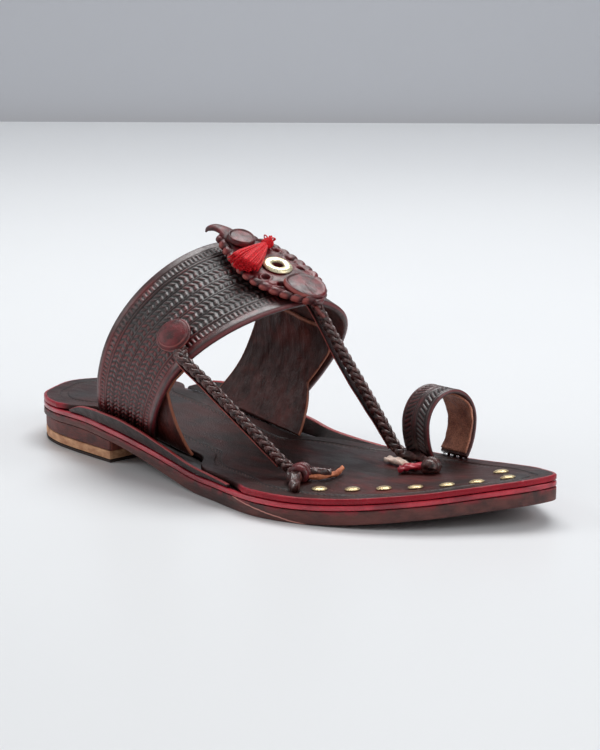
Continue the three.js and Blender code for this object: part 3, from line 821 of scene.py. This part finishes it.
def tooling(u, v, dashes, wheat_rows=0):
    """Height of a tooled surface, 0 in a stamped hollow and 1 on the leather between.

    u runs across the strip and v along it. Each row of dashes is its middle, half width and slant.
    """
    row = (u - WHEAT["start"]) / WHEAT["width"]
    across = np.abs(2 * (row - np.floor(row)) - 1)
    leaf = 0.5 + 0.5 * np.cos(2 * math.pi * (v / WHEAT["pitch"] + WHEAT["lean"] * across))
    crown = 1 - 0.45 * (2 * np.abs(across - 0.42)) ** 2
    leaf = smoothstep(leaf, 0.08, 0.75) * (1 - smoothstep(across, 0.68, 0.82)) * crown
    leaf = leaf * smoothstep(across, 0.0, 0.16)
    rib = smoothstep(across, 0.9, 0.96) * 0.75
    height = np.where((row > 0) & (row < wheat_rows), np.maximum(leaf, rib), 1.0)
    for middle, half, slant in dashes:
        stroke = 0.5 + 0.5 * np.cos(2 * math.pi * (v / DASH_PITCH + slant * (u - middle)))
        height = np.where(np.abs(u - middle) < half, smoothstep(stroke, 0.15, 0.6), height)
        for line in (middle - half - 0.6, middle + half + 0.6):
            height = np.where(np.abs(u - line) < 0.3, 0.15, height)
    return height


def bullnosed(width, thickness, outer, inner):
    """Distance across and depth of points round a strip's section with two rounded edges.

    Each is a row, for a grid whose rows follow the strip; outer and inner are the faces' point counts.
    """
    radius = thickness / 2
    turn = np.linspace(-math.pi / 2, math.pi / 2, 9)[1:-1]
    front = np.stack([width - radius * (1 - np.cos(turn)), radius * (1 + np.sin(turn))], -1)
    rear = np.stack([radius * (1 - np.cos(turn)), radius * (1 - np.sin(turn))], -1)
    top = np.stack([np.linspace(radius, width - radius, outer), np.zeros(outer)], -1)
    low = np.stack([np.linspace(width - radius, radius, inner), np.full(inner, thickness)], -1)
    section = np.concatenate([top, front, low, rear])
    return section[None, :, 0], section[None, :, 1]


def band_piece():
    t = np.linspace(0, 1, 500)[:, None]
    run = run_along(band_face(0.5, t[:, 0]))[:, None]
    u, depth = bullnosed(BAND_WIDTH, BAND_THICKNESS, 144, 20)
    height = tooling(u, run, BAND_DASHES, WHEAT["rows"])
    outside = depth < 0.01
    s = u / BAND_WIDTH + 0 * run
    uneven = 0.25 * noise(band_face(s, t), 42, 11) * (depth > 2.99)
    points = band_point(s, t + 0 * u, depth + outside * BAND_RELIEF * (1 - height) + uneven)
    inside = smoothstep(depth, 1.6, 2.9)
    rim = np.minimum(u, BAND_WIDTH - u)
    on_outer_side = points[..., 1] < 0
    shell(
        "instep_band_tooled", "band", "upper_leather", "instep_band", points,
        relief=height * outside, inside=inside, margin=(1 - smoothstep(rim, 0.4, 4.2)) * (1 - inside),
        low=np.clip(1 - points[..., 2] / 44, 0, 1) * on_outer_side,
        mid=bell(points[..., 2], 40, 17) * on_outer_side,
    )


def ear_pieces(hand, side):
    """Wing inside the band's foot and lip outside it, on the outer (side -1) or inner (side 1) edge."""
    def wing(a, b, face):
        reach = lerp(WING["front_low"], WING["front_high"], np.minimum(1, a / WING["slant"]))
        s = lerp(WING["rear"], reach - 0.08 * smoothstep(a, 0.7, 1.0), b)
        t = WING["top"] * a + 0 * b
        fold = noise(vectors(34 * b, 8 * a, 3.0 * side), 11, 21)
        fold = fold + 0.5 * noise(vectors(60 * b, 20 * a, 0), 9, 22)
        fold = 0.6 * (fold + 1.2) * smoothstep(a, 0.0, 0.2)
        depth = BAND_THICKNESS + GAP + (0 if face > 0 else WING["thickness"])
        return band_point(s, t if side < 0 else 1 - t, depth + fold)

    points, a, b = slab(wing, 70, 90)
    rim = np.maximum(smoothstep(a, 0.95, 1.0), smoothstep(b, 0.985, 1.0))
    rim = np.maximum(rim, 1 - smoothstep(b, 0.0, 0.012))
    shell(f"ear_wing_{hand}_folded", "wing", "upper_leather", f"ear_wing_{hand}", points, rim=rim)

    x = lerp(LIP[0]["x"], LIP[-1]["x"], np.linspace(0, 1, 180)[:, None])
    wide, high = rounded_box(full_turn(24)[None, :], 0.5, 0.4)
    through, up = 0.5 - 0.5 * wide, 0.5 + 0.5 * high
    rise = lip_rise(x) * up * (1 + 0.05 * noise(vectors(x, 0, 0), 23, 30))
    inset = LIP_EDGE["inset"] + LIP_EDGE["thickness"] * through
    y = edge_y(x, side) - side * inset + side * rise * LIP_EDGE[f"{hand}_lean"]
    points = vectors(x, y, slot_floor(x) + rise)
    rim = smoothstep(up, 0.86, 0.98)
    shell(f"ear_lip_{hand}_cut", "lip", "upper_leather", f"ear_lip_{hand}", points, rim=rim)


def ring_pieces():
    a = np.linspace(0, 1, 330)[:, None]
    run = run_along(ring_point(a[:, 0], 0.5, 0.0))[:, None]
    u, depth = bullnosed(RING["width"], RING["wall"], 64, 16)
    height = tooling(u, run, RING_DASHES)
    outside = depth < 0.01
    points = ring_point(a + 0 * u, u / RING["width"], depth + outside * RING_RELIEF * (1 - height))
    points[..., 2] -= RING_SUNK * (points[..., 2] < foot_bed(points[..., 0]) + GAP + 0.05)
    inside = smoothstep(depth, 1.0, 1.95)
    margin = (1 - smoothstep(RING["width"] - u, 0.3, 1.6)) * (1 - inside)
    shell("toe_ring_tooled", "ring", "upper_leather", "toe_ring", points,
          relief=height * outside, inside=inside, margin=margin)

    def lining(a, b, face):
        edge = 0.05 + 0.03 * np.sin(9 * a) + 0.4 * smoothstep(a, 0.6, 1.0)
        depth = RING["wall"] + (0.1 if face > 0 else 1.1)
        return ring_point(0.008 + 0.5 * a + 0 * b, lerp(edge, 1 - edge * 0.5, b), depth)

    points, _, _ = slab(lining, 60, 24)
    points += 0.12 * noise(points, 5, 12)[..., None]
    shell("toe_ring_suede", "suede", "natural_leather", None, points)


# ---- ornament

LEAF = table(
    "u v half lift",
    (-30, -3.5, 4.2, 1.0), (-29, -3.4, 6, 0.9), (-24, -1.5, 9.8, 0), (-17, 0, 13.6, 0), (-5, 0, 16.8, 0),
    (7, 0, 16.8, 0), (18, 0, 13, 0), (26, 0, 7.6, 0), (30, 0, 2, 0),
)
EYELET = dict(u=1, v=0)
PUNCHED = [(u, side * v) for side in (1, -1) for u, v in ((-11, 9.5), (-3, 11), (5.5, 10.5), (13, 8))]
ON_TOP = ORNAMENT["thickness"] + GAP
LACING_PITCH = 5.2


def medallion():
    """Leaf plate with punched holes and an edge laced with a thong, so that it stands in small bumps."""
    leaf_v, leaf_half, leaf_lift = (column(LEAF, name, "u") for name in ("v", "half", "lift"))
    u = lerp(LEAF[0]["u"], LEAF[-1]["u"], 0.5 * (1 - np.cos(math.pi * np.linspace(0, 1, 400))))[:, None]
    run = run_along(np.concatenate([u, leaf_half(u)], 1))[:, None]
    uneven = run + 1.1 * noise(vectors(run, 0, 0), 31, 43)
    lobes = np.abs(np.sin(math.pi * uneven / LACING_PITCH)) ** 0.7
    across, depth = bullnosed(2.0, 0.5, 190, 12)
    across, depth = across - 1, depth / 0.5
    outer = across < 0
    half = leaf_half(u) - 0.7 + np.where(outer, 1.7, 1.2) * lobes
    v = leaf_v(u) + half * across
    rim = half * (1 - np.abs(across))
    ends = smoothstep(u, -29, -24) * (1 - smoothstep(u, 27, 30))
    bump = (1 - smoothstep(rim, 2.2, 4.4)) * lobes * ends * np.where(outer, 1.4, 0.9)
    ditch = bell(rim, 4.6, 0.8) * 0.5 * ends
    puff = bump - ditch + 0.18 * noise(vectors(u, v, 0.0), 13, 41)
    for hole_u, hole_v in PUNCHED:
        away = np.hypot(u - hole_u, v - hole_v)
        puff = puff - 2.3 * (1 - smoothstep(away, 1.45, 1.95)) + 0.3 * bell(away, 2.5, 0.5)
    away = np.hypot(u - EYELET["u"], v - EYELET["v"])
    puff = puff - 2.5 * (1 - smoothstep(away, 2.9, 3.3))
    n = leaf_lift(u) + ORNAMENT["thickness"] * (1 - depth)
    n = n + np.where(depth < 0.01, puff, puff.clip(0) * (1 - depth))
    # Rim colour on the laced bumps, stronger on the outer side: painted highlight.
    tan = (1 - smoothstep(rim, 0.4, 1.6)) * lobes * np.where(outer, 1.0, 0.5) * ends
    shell("medallion_laced", "maroon", "ornament_leather", "medallion", ornament_point(u, v, n), rim=tan)


HORN = [
    (-21, -1.5, 1.7), (-26, -2.8, 2.6), (-30.5, -4.8, 3.9), (-34, -7.0, 4.2), (-36.4, -8.6, 2.8),
    (-37, -9.2, 1.0),
]
HORN_RADIUS = table("t r", (0, 7), (0.25, 5.4), (0.5, 3.2), (0.75, 1.8), (1, 0.5))


def horn():
    """Curled tip of the leaf, flat where it leaves it and round at its end."""
    share = np.linspace(0, 1, 60)
    path = ornament_point(*spline(HORN, 60).T)
    flat = (0.24 + 0.5 * smoothstep(share, 0.2, 0.9))[:, None, None]
    points = tube(path, column(HORN_RADIUS, "r", "t")(share), 28, flat=flat, normal=ORNAMENT_N)
    ridge = 1 + 0.05 * noise(points, 7, 44)[..., None]
    points = path[:, None] + (points - path[:, None]) * ridge
    rim = smoothstep(share, 0.8, 1.0)[:, None] * 0.4
    shell("medallion_horn", "maroon", "ornament_leather", None, points, rim=rim)


SADDLE = dict(u=-6, long=15, wide=11.5, sunk=0.3, least=0.2)


def saddle():
    """Pad of leather that fills the space between the ornament and the band under it."""
    s, t = np.meshgrid(np.linspace(0, 1, 160), np.linspace(0.3, 0.72, 220))
    surface = band_face(s, t).reshape(-1, 3)
    turn = full_turn(110)
    top = ornament_point(SADDLE["u"] + SADDLE["long"] * np.cos(turn), SADDLE["wide"] * np.sin(turn), -0.1)
    nearest = np.argmin(((top[:, None, :2] - surface[None, :, :2]) ** 2).sum(-1), axis=1)
    low = top.copy()
    low[:, 2] = np.minimum(surface[nearest, 2] - SADDLE["sunk"], top[:, 2] - SADDLE["least"])
    out = top - top.mean(0)
    wall = [lerp(top, low, k) + out * 0.05 * math.sin(math.pi * k) for k in (0.2, 0.4, 0.6, 0.8)]
    rows = [top.mean(0) + out * 0.02, top, *wall, low, low.mean(0) + (low - low.mean(0)) * 0.02]
    shell("medallion_saddle", "maroon", "ornament_leather", None, np.array(rows), rim=0.0)


def polar(radius, rings, segments, height, outline):
    """Grid of a round piece, and its r and angle.

    height(r, angle) is over a disc whose rim radius is radius times outline(angle).
    """
    r = np.linspace(1, 0, rings)[:, None]
    angle = full_turn(segments)[None, :]
    reach = radius * outline(angle)
    top = vectors(r * reach * np.cos(angle), r * reach * np.sin(angle), height(r, angle))
    wall = vectors(reach * np.cos(angle) * 0.985, reach * np.sin(angle) * 0.985, 0)
    return np.concatenate([wall, top]), np.concatenate([[[1.0]], r]), angle


def petal():
    def height(r, angle):
        crease = bell(r * np.sin(angle) + 0.12 * np.cos(2 * angle), 0, 0.09)
        crease = crease * smoothstep(r * np.cos(angle), -0.3, 0.7)
        lip = bell(r, 0.9, 0.07) * (0.35 + 0.45 * smoothstep(np.cos(angle - 4.1), -0.2, 0.8))
        return 0.9 + 0.75 * (1 - r ** 2) - 0.35 * crease + lip - 0.5 * smoothstep(r, 0.94, 1.0)

    def outline(angle):
        return 1 + 0.05 * np.cos(angle) ** 7 + 0.015 * np.sin(5 * angle)

    points, r, angle = polar(9.6, 34, 110, height, outline)
    rim = smoothstep(r, 0.88, 0.97) * smoothstep(np.cos(angle - 4.4), -0.3, 0.6)
    points = on_ornament(points, 19, 0.5, ON_TOP)
    shell("petal_folded", "maroon", "ornament_leather", "petal", points, cap=False, rim=rim)


def button():
    def height(r, _):
        return 1.5 + 0.35 * (1 - r ** 2) + 0.7 * bell(r, 0.88, 0.08) - 0.9 * smoothstep(r, 0.92, 1.0)

    points, r, _ = polar(6.4, 26, 80, height, lambda a: 1 + 0.02 * np.sin(3 * a + 1))
    points = on_ornament(points, -22, -2, ON_TOP + 0.7)
    rim = 0.5 * smoothstep(r, 0.93, 1)
    shell("button_rimmed", "maroon", "ornament_leather", "button", points, cap=False, rim=rim)


def eyelet():
    profile = [
        (2.75, 0.1), (2.7, 0.7), (2.85, 1.0), (3.2, 1.2), (3.9, 1.4), (4.7, 1.45), (5.5, 1.3), (6.1, 0.95),
        (6.5, 0.6), (6.75, 0.2), (6.65, 0.0),
    ]
    points = on_ornament(turned(profile, 96), EYELET["u"], EYELET["v"], ON_TOP)
    shell("eyelet_bevelled", "eyelet", "brass", "eyelet", points, cap=False)


STUD = dict(s=0.76, t=0.255, radius=7.9, raised=3.4, lean=[0.2, 0, 0.1], step=0.86)


def stud():
    """Domed disc on a flat rim, where the outer thong starts; it leans with the thong under it."""
    def height(r, _):
        step = 1.1 * (1 - smoothstep(r, 0.8, STUD["step"]))
        dome = 0.85 * (1 - (r / STUD["step"]).clip(0, 1) ** 2)
        return 1.2 + step + dome - 0.5 * smoothstep(r, 0.93, 1.0)

    def outline(angle):
        return 1 + 0.03 * np.sin(2 * angle) + 0.014 * np.sin(5 * angle + 2)

    s, t = STUD["s"], STUD["t"]
    normal = unit(band_normal(s, t) + STUD["lean"])
    down = band_face(s, 0.2) - band_face(s, t)
    down = unit(down - normal * (down @ normal))
    points, r, angle = polar(STUD["radius"], 40, 110, height, outline)
    rim = np.maximum(smoothstep(r, 0.95, 1.0), bell(r, 0.83, 0.03))
    rim = rim * smoothstep(np.cos(angle - 0.7), -0.5, 0.5)
    points = placed(points, band_point(s, t, -STUD["raised"]), down, np.cross(normal, down), normal)
    shell("stud_domed", "maroon", "ornament_leather", "stud", points, cap=False, rim=0.8 * rim)


STRANDS = 330
STRAND_POINTS = 11
STRAND_SPREAD = [0.9, 1.1, 2.3, 4.4, 5.9, 6.5]
STRAND_RISE = [0.9, 1.1, 1.9, 2.6, 2.9, 2.6]
STRAND_SWAY = [0, 0, 0.2, 0.6, 1.0, 1.2]
KNOT_LOOPS = 7


def tassel():
    """Brush of separate strands, and the knot with its loose loops that ties them."""
    top = ornament_point(-13.5, 6.5, ON_TOP + 2.5)
    end = ornament_point(-4.5, -16.5, ON_TOP + 3.4)
    along = unit(end - top)
    across = unit(np.cross(along, ORNAMENT_N))
    lift = np.cross(across, along)
    lift = lift * np.sign(lift @ ORNAMENT_N)
    length = float(np.linalg.norm(end - top))

    brush = Piece()
    root = np.linspace(0, 1, STRAND_POINTS)[:, None]
    for _ in range(STRANDS):
        turn, reach = rng.uniform(0, 2 * math.pi), math.sqrt(rng.uniform(0, 1))
        wide, high = math.cos(turn) * reach, math.sin(turn) * reach
        far = length + 1.5 + rng.normal(0, 0.9) - 2.2 * wide * wide
        bend = rng.normal(0, 0.5, 2)
        stops = [0.0, 2.5, 6.0, 0.55 * far, 0.8 * far, far]
        route = [
            top + along * d + across * (wide * w + s * bend[0]) + lift * (high * h + s * bend[1] * 0.6)
            for d, w, h, s in zip(stops, STRAND_SPREAD, STRAND_RISE, STRAND_SWAY)
        ]
        brush.grid(tube(spline(route, STRAND_POINTS), 0.3, 5, normal=ORNAMENT_N), root=root)
    complete(brush, "tassel_brush", "thread", "tassel_thread", "tassel", THREAD_WELD)

    share = np.linspace(0, 1, 70)
    wound = 2.5 * np.sqrt(np.clip(1 - (2 * share - 1) ** 4, 0.02, 1))
    wound = wound * (1 + 0.07 * np.sin(share * 2 * math.pi * 9))
    path = top + along * (share * 5.2 - 1.6)[:, None]
    tied = Piece().grid(tube(path, wound, 28, flat=0.85, normal=ORNAMENT_N), root=0.6)
    turn = full_turn(26)[:, None]
    for _ in range(KNOT_LOOPS):
        start = top - along * 1.2 + across * rng.normal(0, 0.9) + lift * rng.uniform(0.2, 1.4)
        lean = unit(across * rng.normal(0, 1) + lift * rng.uniform(0.2, 1) - along * 0.8)
        loop = start + 1.9 * (np.cos(turn) * lean + np.sin(turn) * np.cross(lean, along) * 0.5)
        tied.grid(tube(loop, 0.32, 6, closed=True), wrap_rows=True, cap=False, root=0.7)
    complete(tied, "tassel_knot", "thread", "tassel_thread", None, THREAD_WELD)


# ---- thongs and their ends

PLAIT_PITCH = 3.5
LOBE = [(-1.1, 1.9, -0.9), (-0.3, 2.35, 0.05), (0.9, 1.7, 0.9), (2.3, 0.65, 1.1), (3.5, -0.4, 0.45)]
LOBE_POINTS = 13
ABOVE_BED = 0.05


def strap_axes(path):
    """Unit vectors across a strap and out of its face."""
    tangent = unit(np.gradient(path, axis=0))
    level = unit(np.cross([0.0, 0.0, 1.0], tangent))
    return level, np.cross(tangent, level)


def ribbon(path, axes, wide, high):
    """Ring grid round a path, from offsets across and out of its face, along its strap axes."""
    level, normal = axes
    return path[:, None] + level[:, None] * wide[..., None] + normal[:, None] * high[..., None]


def above_bed(points):
    points[..., 2] = np.maximum(points[..., 2], foot_bed(points[..., 0]) + ABOVE_BED)
    return points


def plait(name, node, route):
    """Fishbone plait: lobes from both edges cross at the middle of the face and of the back."""
    path = spline(route, 400)
    run = run_along(path)
    level, normal = strap_axes(path)

    def along(source, length):
        return np.stack([np.interp(length, run, source[:, k]) for k in range(3)], -1)

    def at(length, across, up):
        return along(path, length) + across * along(level, length) + up * along(normal, length)

    piece = Piece()
    lobe = spline(LOBE, LOBE_POINTS)
    girth = 0.95 * np.sqrt(np.clip(1 - np.linspace(-1, 1, LOBE_POINTS) ** 4 * 0.8, 0.1, 1))
    for step in np.arange(1.2, run[-1] - 3.7, PLAIT_PITCH):
        for hand in (-1, 1):
            for face in (-1, 1):
                start = step + (0.5 * PLAIT_PITCH if hand < 0 else 0) + rng.normal(0, 0.08)
                middle = at(start + lobe[:, 0], hand * lobe[:, 1:2], face * lobe[:, 2:])
                piece.grid(tube(middle, girth, 9), strand=rng.uniform(0, 1))
    piece.grid(tube(path, 2.3, 14, flat=0.42, normal=normal), strand=0.0)
    complete(piece, name, "thong", "upper_leather", node, THREAD_WELD)


def backing(name, node, route, bow):
    """Thin flat thong under a plait, with cut red edges; it hangs away from the plait in the middle."""
    path = spline(route, 120)
    axes = strap_axes(path)
    share = np.linspace(0, 1, 120)
    path = path - axes[1] * (2.3 + bow * np.sin(math.pi * share) ** 2)[:, None]
    wide, high = rounded_box(full_turn(24)[None, :], 0.5, 0.7)
    half = (2.2 + 0.12 * np.sin(share * 37))[:, None]
    points = ribbon(path, axes, half * wide, 0.45 * high)
    shell(name, "backing", "ornament_leather", node, points, rim=np.abs(wide) ** 8)


def tail(name, look, slot, node, route, width, thickness, rim=0.0):
    """Cut end of a thong: a flat crumpled strip along a route, tapered at its far end."""
    path = spline(route, 60)
    axes = strap_axes(path)
    share = np.linspace(0, 1, 60)[:, None]
    turn = full_turn(22)[None, :]
    half = width * 0.5 * (0.82 + 0.18 * np.sin(share * 9)) * (1 - 0.55 * smoothstep(share, 0.6, 1))
    wide = rounded_box(turn, 0.6, 1)[0] * half
    high = np.sin(turn) * thickness * 0.5 * (1 + 0.35 * np.sin(share * 13 + 2 * wide))
    points = ribbon(path, axes, wide, high)
    points += 0.18 * noise(points, 4, len(name))[..., None] * axes[1][:, None]
    shell(name, look, slot, node, above_bed(points), rim=rim)


def knot(name, look, node, centre, axis, size, turns):
    """Thong wound round itself: coils of a flattened cord about an axis, round a core."""
    axis = unit(np.asarray(axis, float))
    side = unit(np.cross(axis, [0, 0, 1.0]))
    up = np.cross(side, axis)
    length, wide, high = size
    share = np.linspace(0, 1, 60 * turns)
    angle = 2 * math.pi * turns * share
    swell = np.sqrt(np.clip(1 - 0.55 * (2 * share - 1) ** 2, 0.1, 1))
    along = centre + axis * ((share - 0.5) * length)[:, None]
    out = side * (np.cos(angle) * wide / 2 * swell)[:, None]
    path = along + out + up * (np.sin(angle) * high / 2 * swell)[:, None]
    core = centre + axis * (np.linspace(-0.5, 0.5, 24) * length)[:, None]
    radius = high / 2 * np.sqrt(np.clip(1 - np.linspace(-1, 1, 24) ** 4, 0.05, 1))
    piece = Piece()
    for points in (tube(path, 0.62 * length / turns, 12, normal=axis),
                   tube(core, radius, 16, flat=wide / high, normal=side)):
        piece.grid(above_bed(points), rim=0.0)
    complete(piece, name, look, "ornament_leather", node)


def thongs():
    centre = [(152.5, 7.4, 77.6), *CENTRE_ROUTE, (200.5, 21.2, 13.2)]
    under_stud = [band_point(0.78, 0.25, -0.2), band_point(0.9, 0.236, -1.3)]
    outer = [*under_stud, *OUTER_ROUTE, (190.5, -33.5, 13.4)]
    plait("thong_centre_plaited", "thong_centre", centre)
    plait("thong_outer_plaited", "thong_outer", outer)
    backing("backing_centre_strip", "backing_centre", centre[:-1], 1.6)
    backing("backing_outer_strip", "backing_outer", outer[:-1], 0.3)
    tip = [(155, 5.6, 78.2), (160, 7, 74.6), (164, 8.6, 69.6)]
    tail("thong_tip_cut", "backing", "ornament_leather", None, tip, 4.4, 1.3, rim=0.7)


def ends_on_insole():
    """Knots and tails that lie on the tread; their heights are above it."""
    def on_tread(*points):
        return [(x, y, TREAD_HEIGHT + z) for x, y, z in points]

    at = (193.5, -34.6, TREAD_HEIGHT + 3.0)
    knot("knot_outer_wrap", "maroon", None, at, (0.55, -1, -0.1), (8, 6.4, 5.6), 3)
    route = on_tread((192, -38, 2.4), (198, -42, 2.6), (203, -47.5, 2.0), (206.5, -50.5, 1.2))
    tail("knot_outer_bundle", "thong", "ornament_leather", "knot_outer", route, 6.4, 4.4)
    route = on_tread((195, -36, 2.2), (199.5, -28, 1.6), (200, -21, 1.6), (197.6, -13.8, 2.4))
    tail("tail_outer_tip", "tan", "natural_leather", "tail_outer", route, 3.6, 1.9)
    route = on_tread((193, -33, 3.2), (198, -30, 3.6), (200.6, -24, 2.4))
    tail("tail_outer_dark", "thong", "ornament_leather", None, route, 4.6, 3.0)

    at = (224.0, 12, foot_bed(225) + 2.5)
    knot("knot_centre_coil", "thong", "knot_centre", at, (-0.5, 1, 0.05), (7, 4.4, 3.8), 2)
    route = on_tread((196.5, 14.6, 1.4), (203, 14, 1.5), (210, 12, 1.6), (216.5, 10.4, 1.8))
    tail("tail_centre_strip", "cream", "natural_leather", "tail_centre", route, 5.6, 2.2)
    route = on_tread((198.5, 20.8, 2.6), (206, 20.5, 3.0), (214, 18.5, 3.4), (221, 16, 3.4))
    tail("tail_centre_dark", "thong", "ornament_leather", None, route, 5.0, 3.6)
    route = on_tread((213.0, 4.6, 1.4), (217, 6.6, 2.8), (222.5, 9.4, 3.6))
    tail("tail_centre_painted", "edge", "ornament_leather", None, route, 7.4, 2.4)


def rivets():
    """Brass domes, each square to the foot bed under it."""
    arc = np.linspace(0, math.pi / 2, 12)
    dome = np.stack([2.7 * np.cos(arc), 0.45 + 0.55 * np.sin(arc)], -1)
    profile = np.concatenate([[(3.15, -0.05), (3.2, 0.15), (3.1, 0.36), (2.85, 0.42)], dome])
    inwards = np.array([0, 1, 0])
    for number, (x, y) in enumerate(RIVETS, 1):
        slope = float(foot_bed(x + 1) - foot_bed(x - 1)) / 2
        normal = unit(np.array([-slope, 0, 1]))
        place = (x, y, float(foot_bed(x)) + 0.1)
        points = placed(turned(profile, 40), place, np.cross(inwards, normal), inwards, normal)
        shell(f"rivet_domed_{number}", "brass", "brass", f"rivet_{number}", points, cap=False)


sole_pieces()
heel_pieces()
band_piece()
ear_pieces("outer", -1)
ear_pieces("inner", 1)
ring_pieces()
medallion()
horn()
saddle()
petal()
button()
eyelet()
stud()
tassel()
thongs()
ends_on_insole()
rivets()


# ---- stage, light and camera

CAMERA = Vector((0.8938, -0.7626, 0.2703))
AIM = Vector((0.0907, 0.0268, 0.0371))
CAMERA_TURN = math.radians(43.5)
FLOOR = dict(near=-1600, far=1350, half_width=2600)
BACKDROP = dict(behind=20, widening=1.5, levels=(-300, 900, 2600))


def floor_look():
    look = Look("floor_white", Coat_Weight=0.25, Coat_Roughness=0.25)
    cloud = look.noise(600, 3)
    colour = look.blend(cloud, (226, 229, 232), (233, 236, 238))
    return look.finish(colour, look.step(cloud, 0, 1, 0.42, 0.5), look.bump(look.noise(2, 2), 0.01))


def backdrop_look():
    """Plain grey paper, with painted light falloff: paler towards the floor, darker higher up."""
    look = Look("backdrop_grey", Specular_IOR_Level=0.0)
    # Painted light falloff from pale near the floor to dark higher up.
    colour = look.blend(look.step(look.place("Z"), -0.2, 1.9), (190, 193, 199), (92, 94, 100))
    fibre = look.noise(4, 3)
    return look.finish(colour, look.step(fibre, 0, 1, 0.9, 1.0), look.bump(fibre, 0.02))


def flat_sheet(name, rows, look):
    """Stage surface from a grid of points in millimetres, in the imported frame."""
    points = np.array(rows, float) + [HEEL_MIDDLE, 0, 0]
    Piece().grid(points, wrap_columns=False, cap=False).build(name, look)


def area_light(name, place, target, size, power):
    data = bpy.data.lights.new(name, "AREA")
    data.shape = "RECTANGLE"
    data.size, data.size_y = size
    data.energy = power
    lamp = bpy.data.objects.new(name, data)
    lamp.location = place
    lamp.rotation_euler = (Vector(target) - Vector(place)).to_track_quat("-Z", "Y").to_euler()
    bpy.context.scene.collection.objects.link(lamp)


def build_stage():
    away = np.array([-math.sin(CAMERA_TURN), math.cos(CAMERA_TURN), 0])
    right = np.array([math.cos(CAMERA_TURN), math.sin(CAMERA_TURN), 0])
    sides = [side * FLOOR["half_width"] for side in (-1, 0, 1)]
    floor = [[away * depth + right * side for side in sides] for depth in (FLOOR["near"], 0, FLOOR["far"])]
    flat_sheet("floor", floor, floor_look())
    foot = away * (FLOOR["far"] + BACKDROP["behind"])
    along = right * BACKDROP["widening"]
    wall = [[foot + along * side + [0, 0, z] for side in sides] for z in BACKDROP["levels"]]
    flat_sheet("backdrop", wall, backdrop_look())
    area_light("softbox_above", (-0.25, 0.55, 1.25), (0.1, 0, 0), (1.1, 0.7), 17)
    area_light("softbox_left", (-0.9, -0.9, 0.8), (0.1, 0, 0.05), (0.8, 0.8), 4.5)
    area_light("softbox_right", (1.2, 0.35, 0.7), (0.12, 0, 0.04), (0.7, 0.7), 5)
    world = bpy.data.worlds.new("studio")
    world.use_nodes = True
    background = world.node_tree.nodes["Background"]
    background.inputs["Color"].default_value = (0.9, 0.88, 0.88, 1)
    background.inputs["Strength"].default_value = 0.42
    bpy.context.scene.world = world


def build_camera():
    data = bpy.data.cameras.new("camera")
    data.lens = 124
    data.sensor_width = 36
    data.clip_end = 20
    camera = bpy.data.objects.new("camera", data)
    camera.location = CAMERA
    camera.rotation_euler = (AIM - CAMERA).to_track_quat("-Z", "Y").to_euler()
    bpy.context.scene.collection.objects.link(camera)
    bpy.context.scene.camera = camera
    bpy.context.scene.view_settings.view_transform = "Standard"


build_stage()
build_camera()
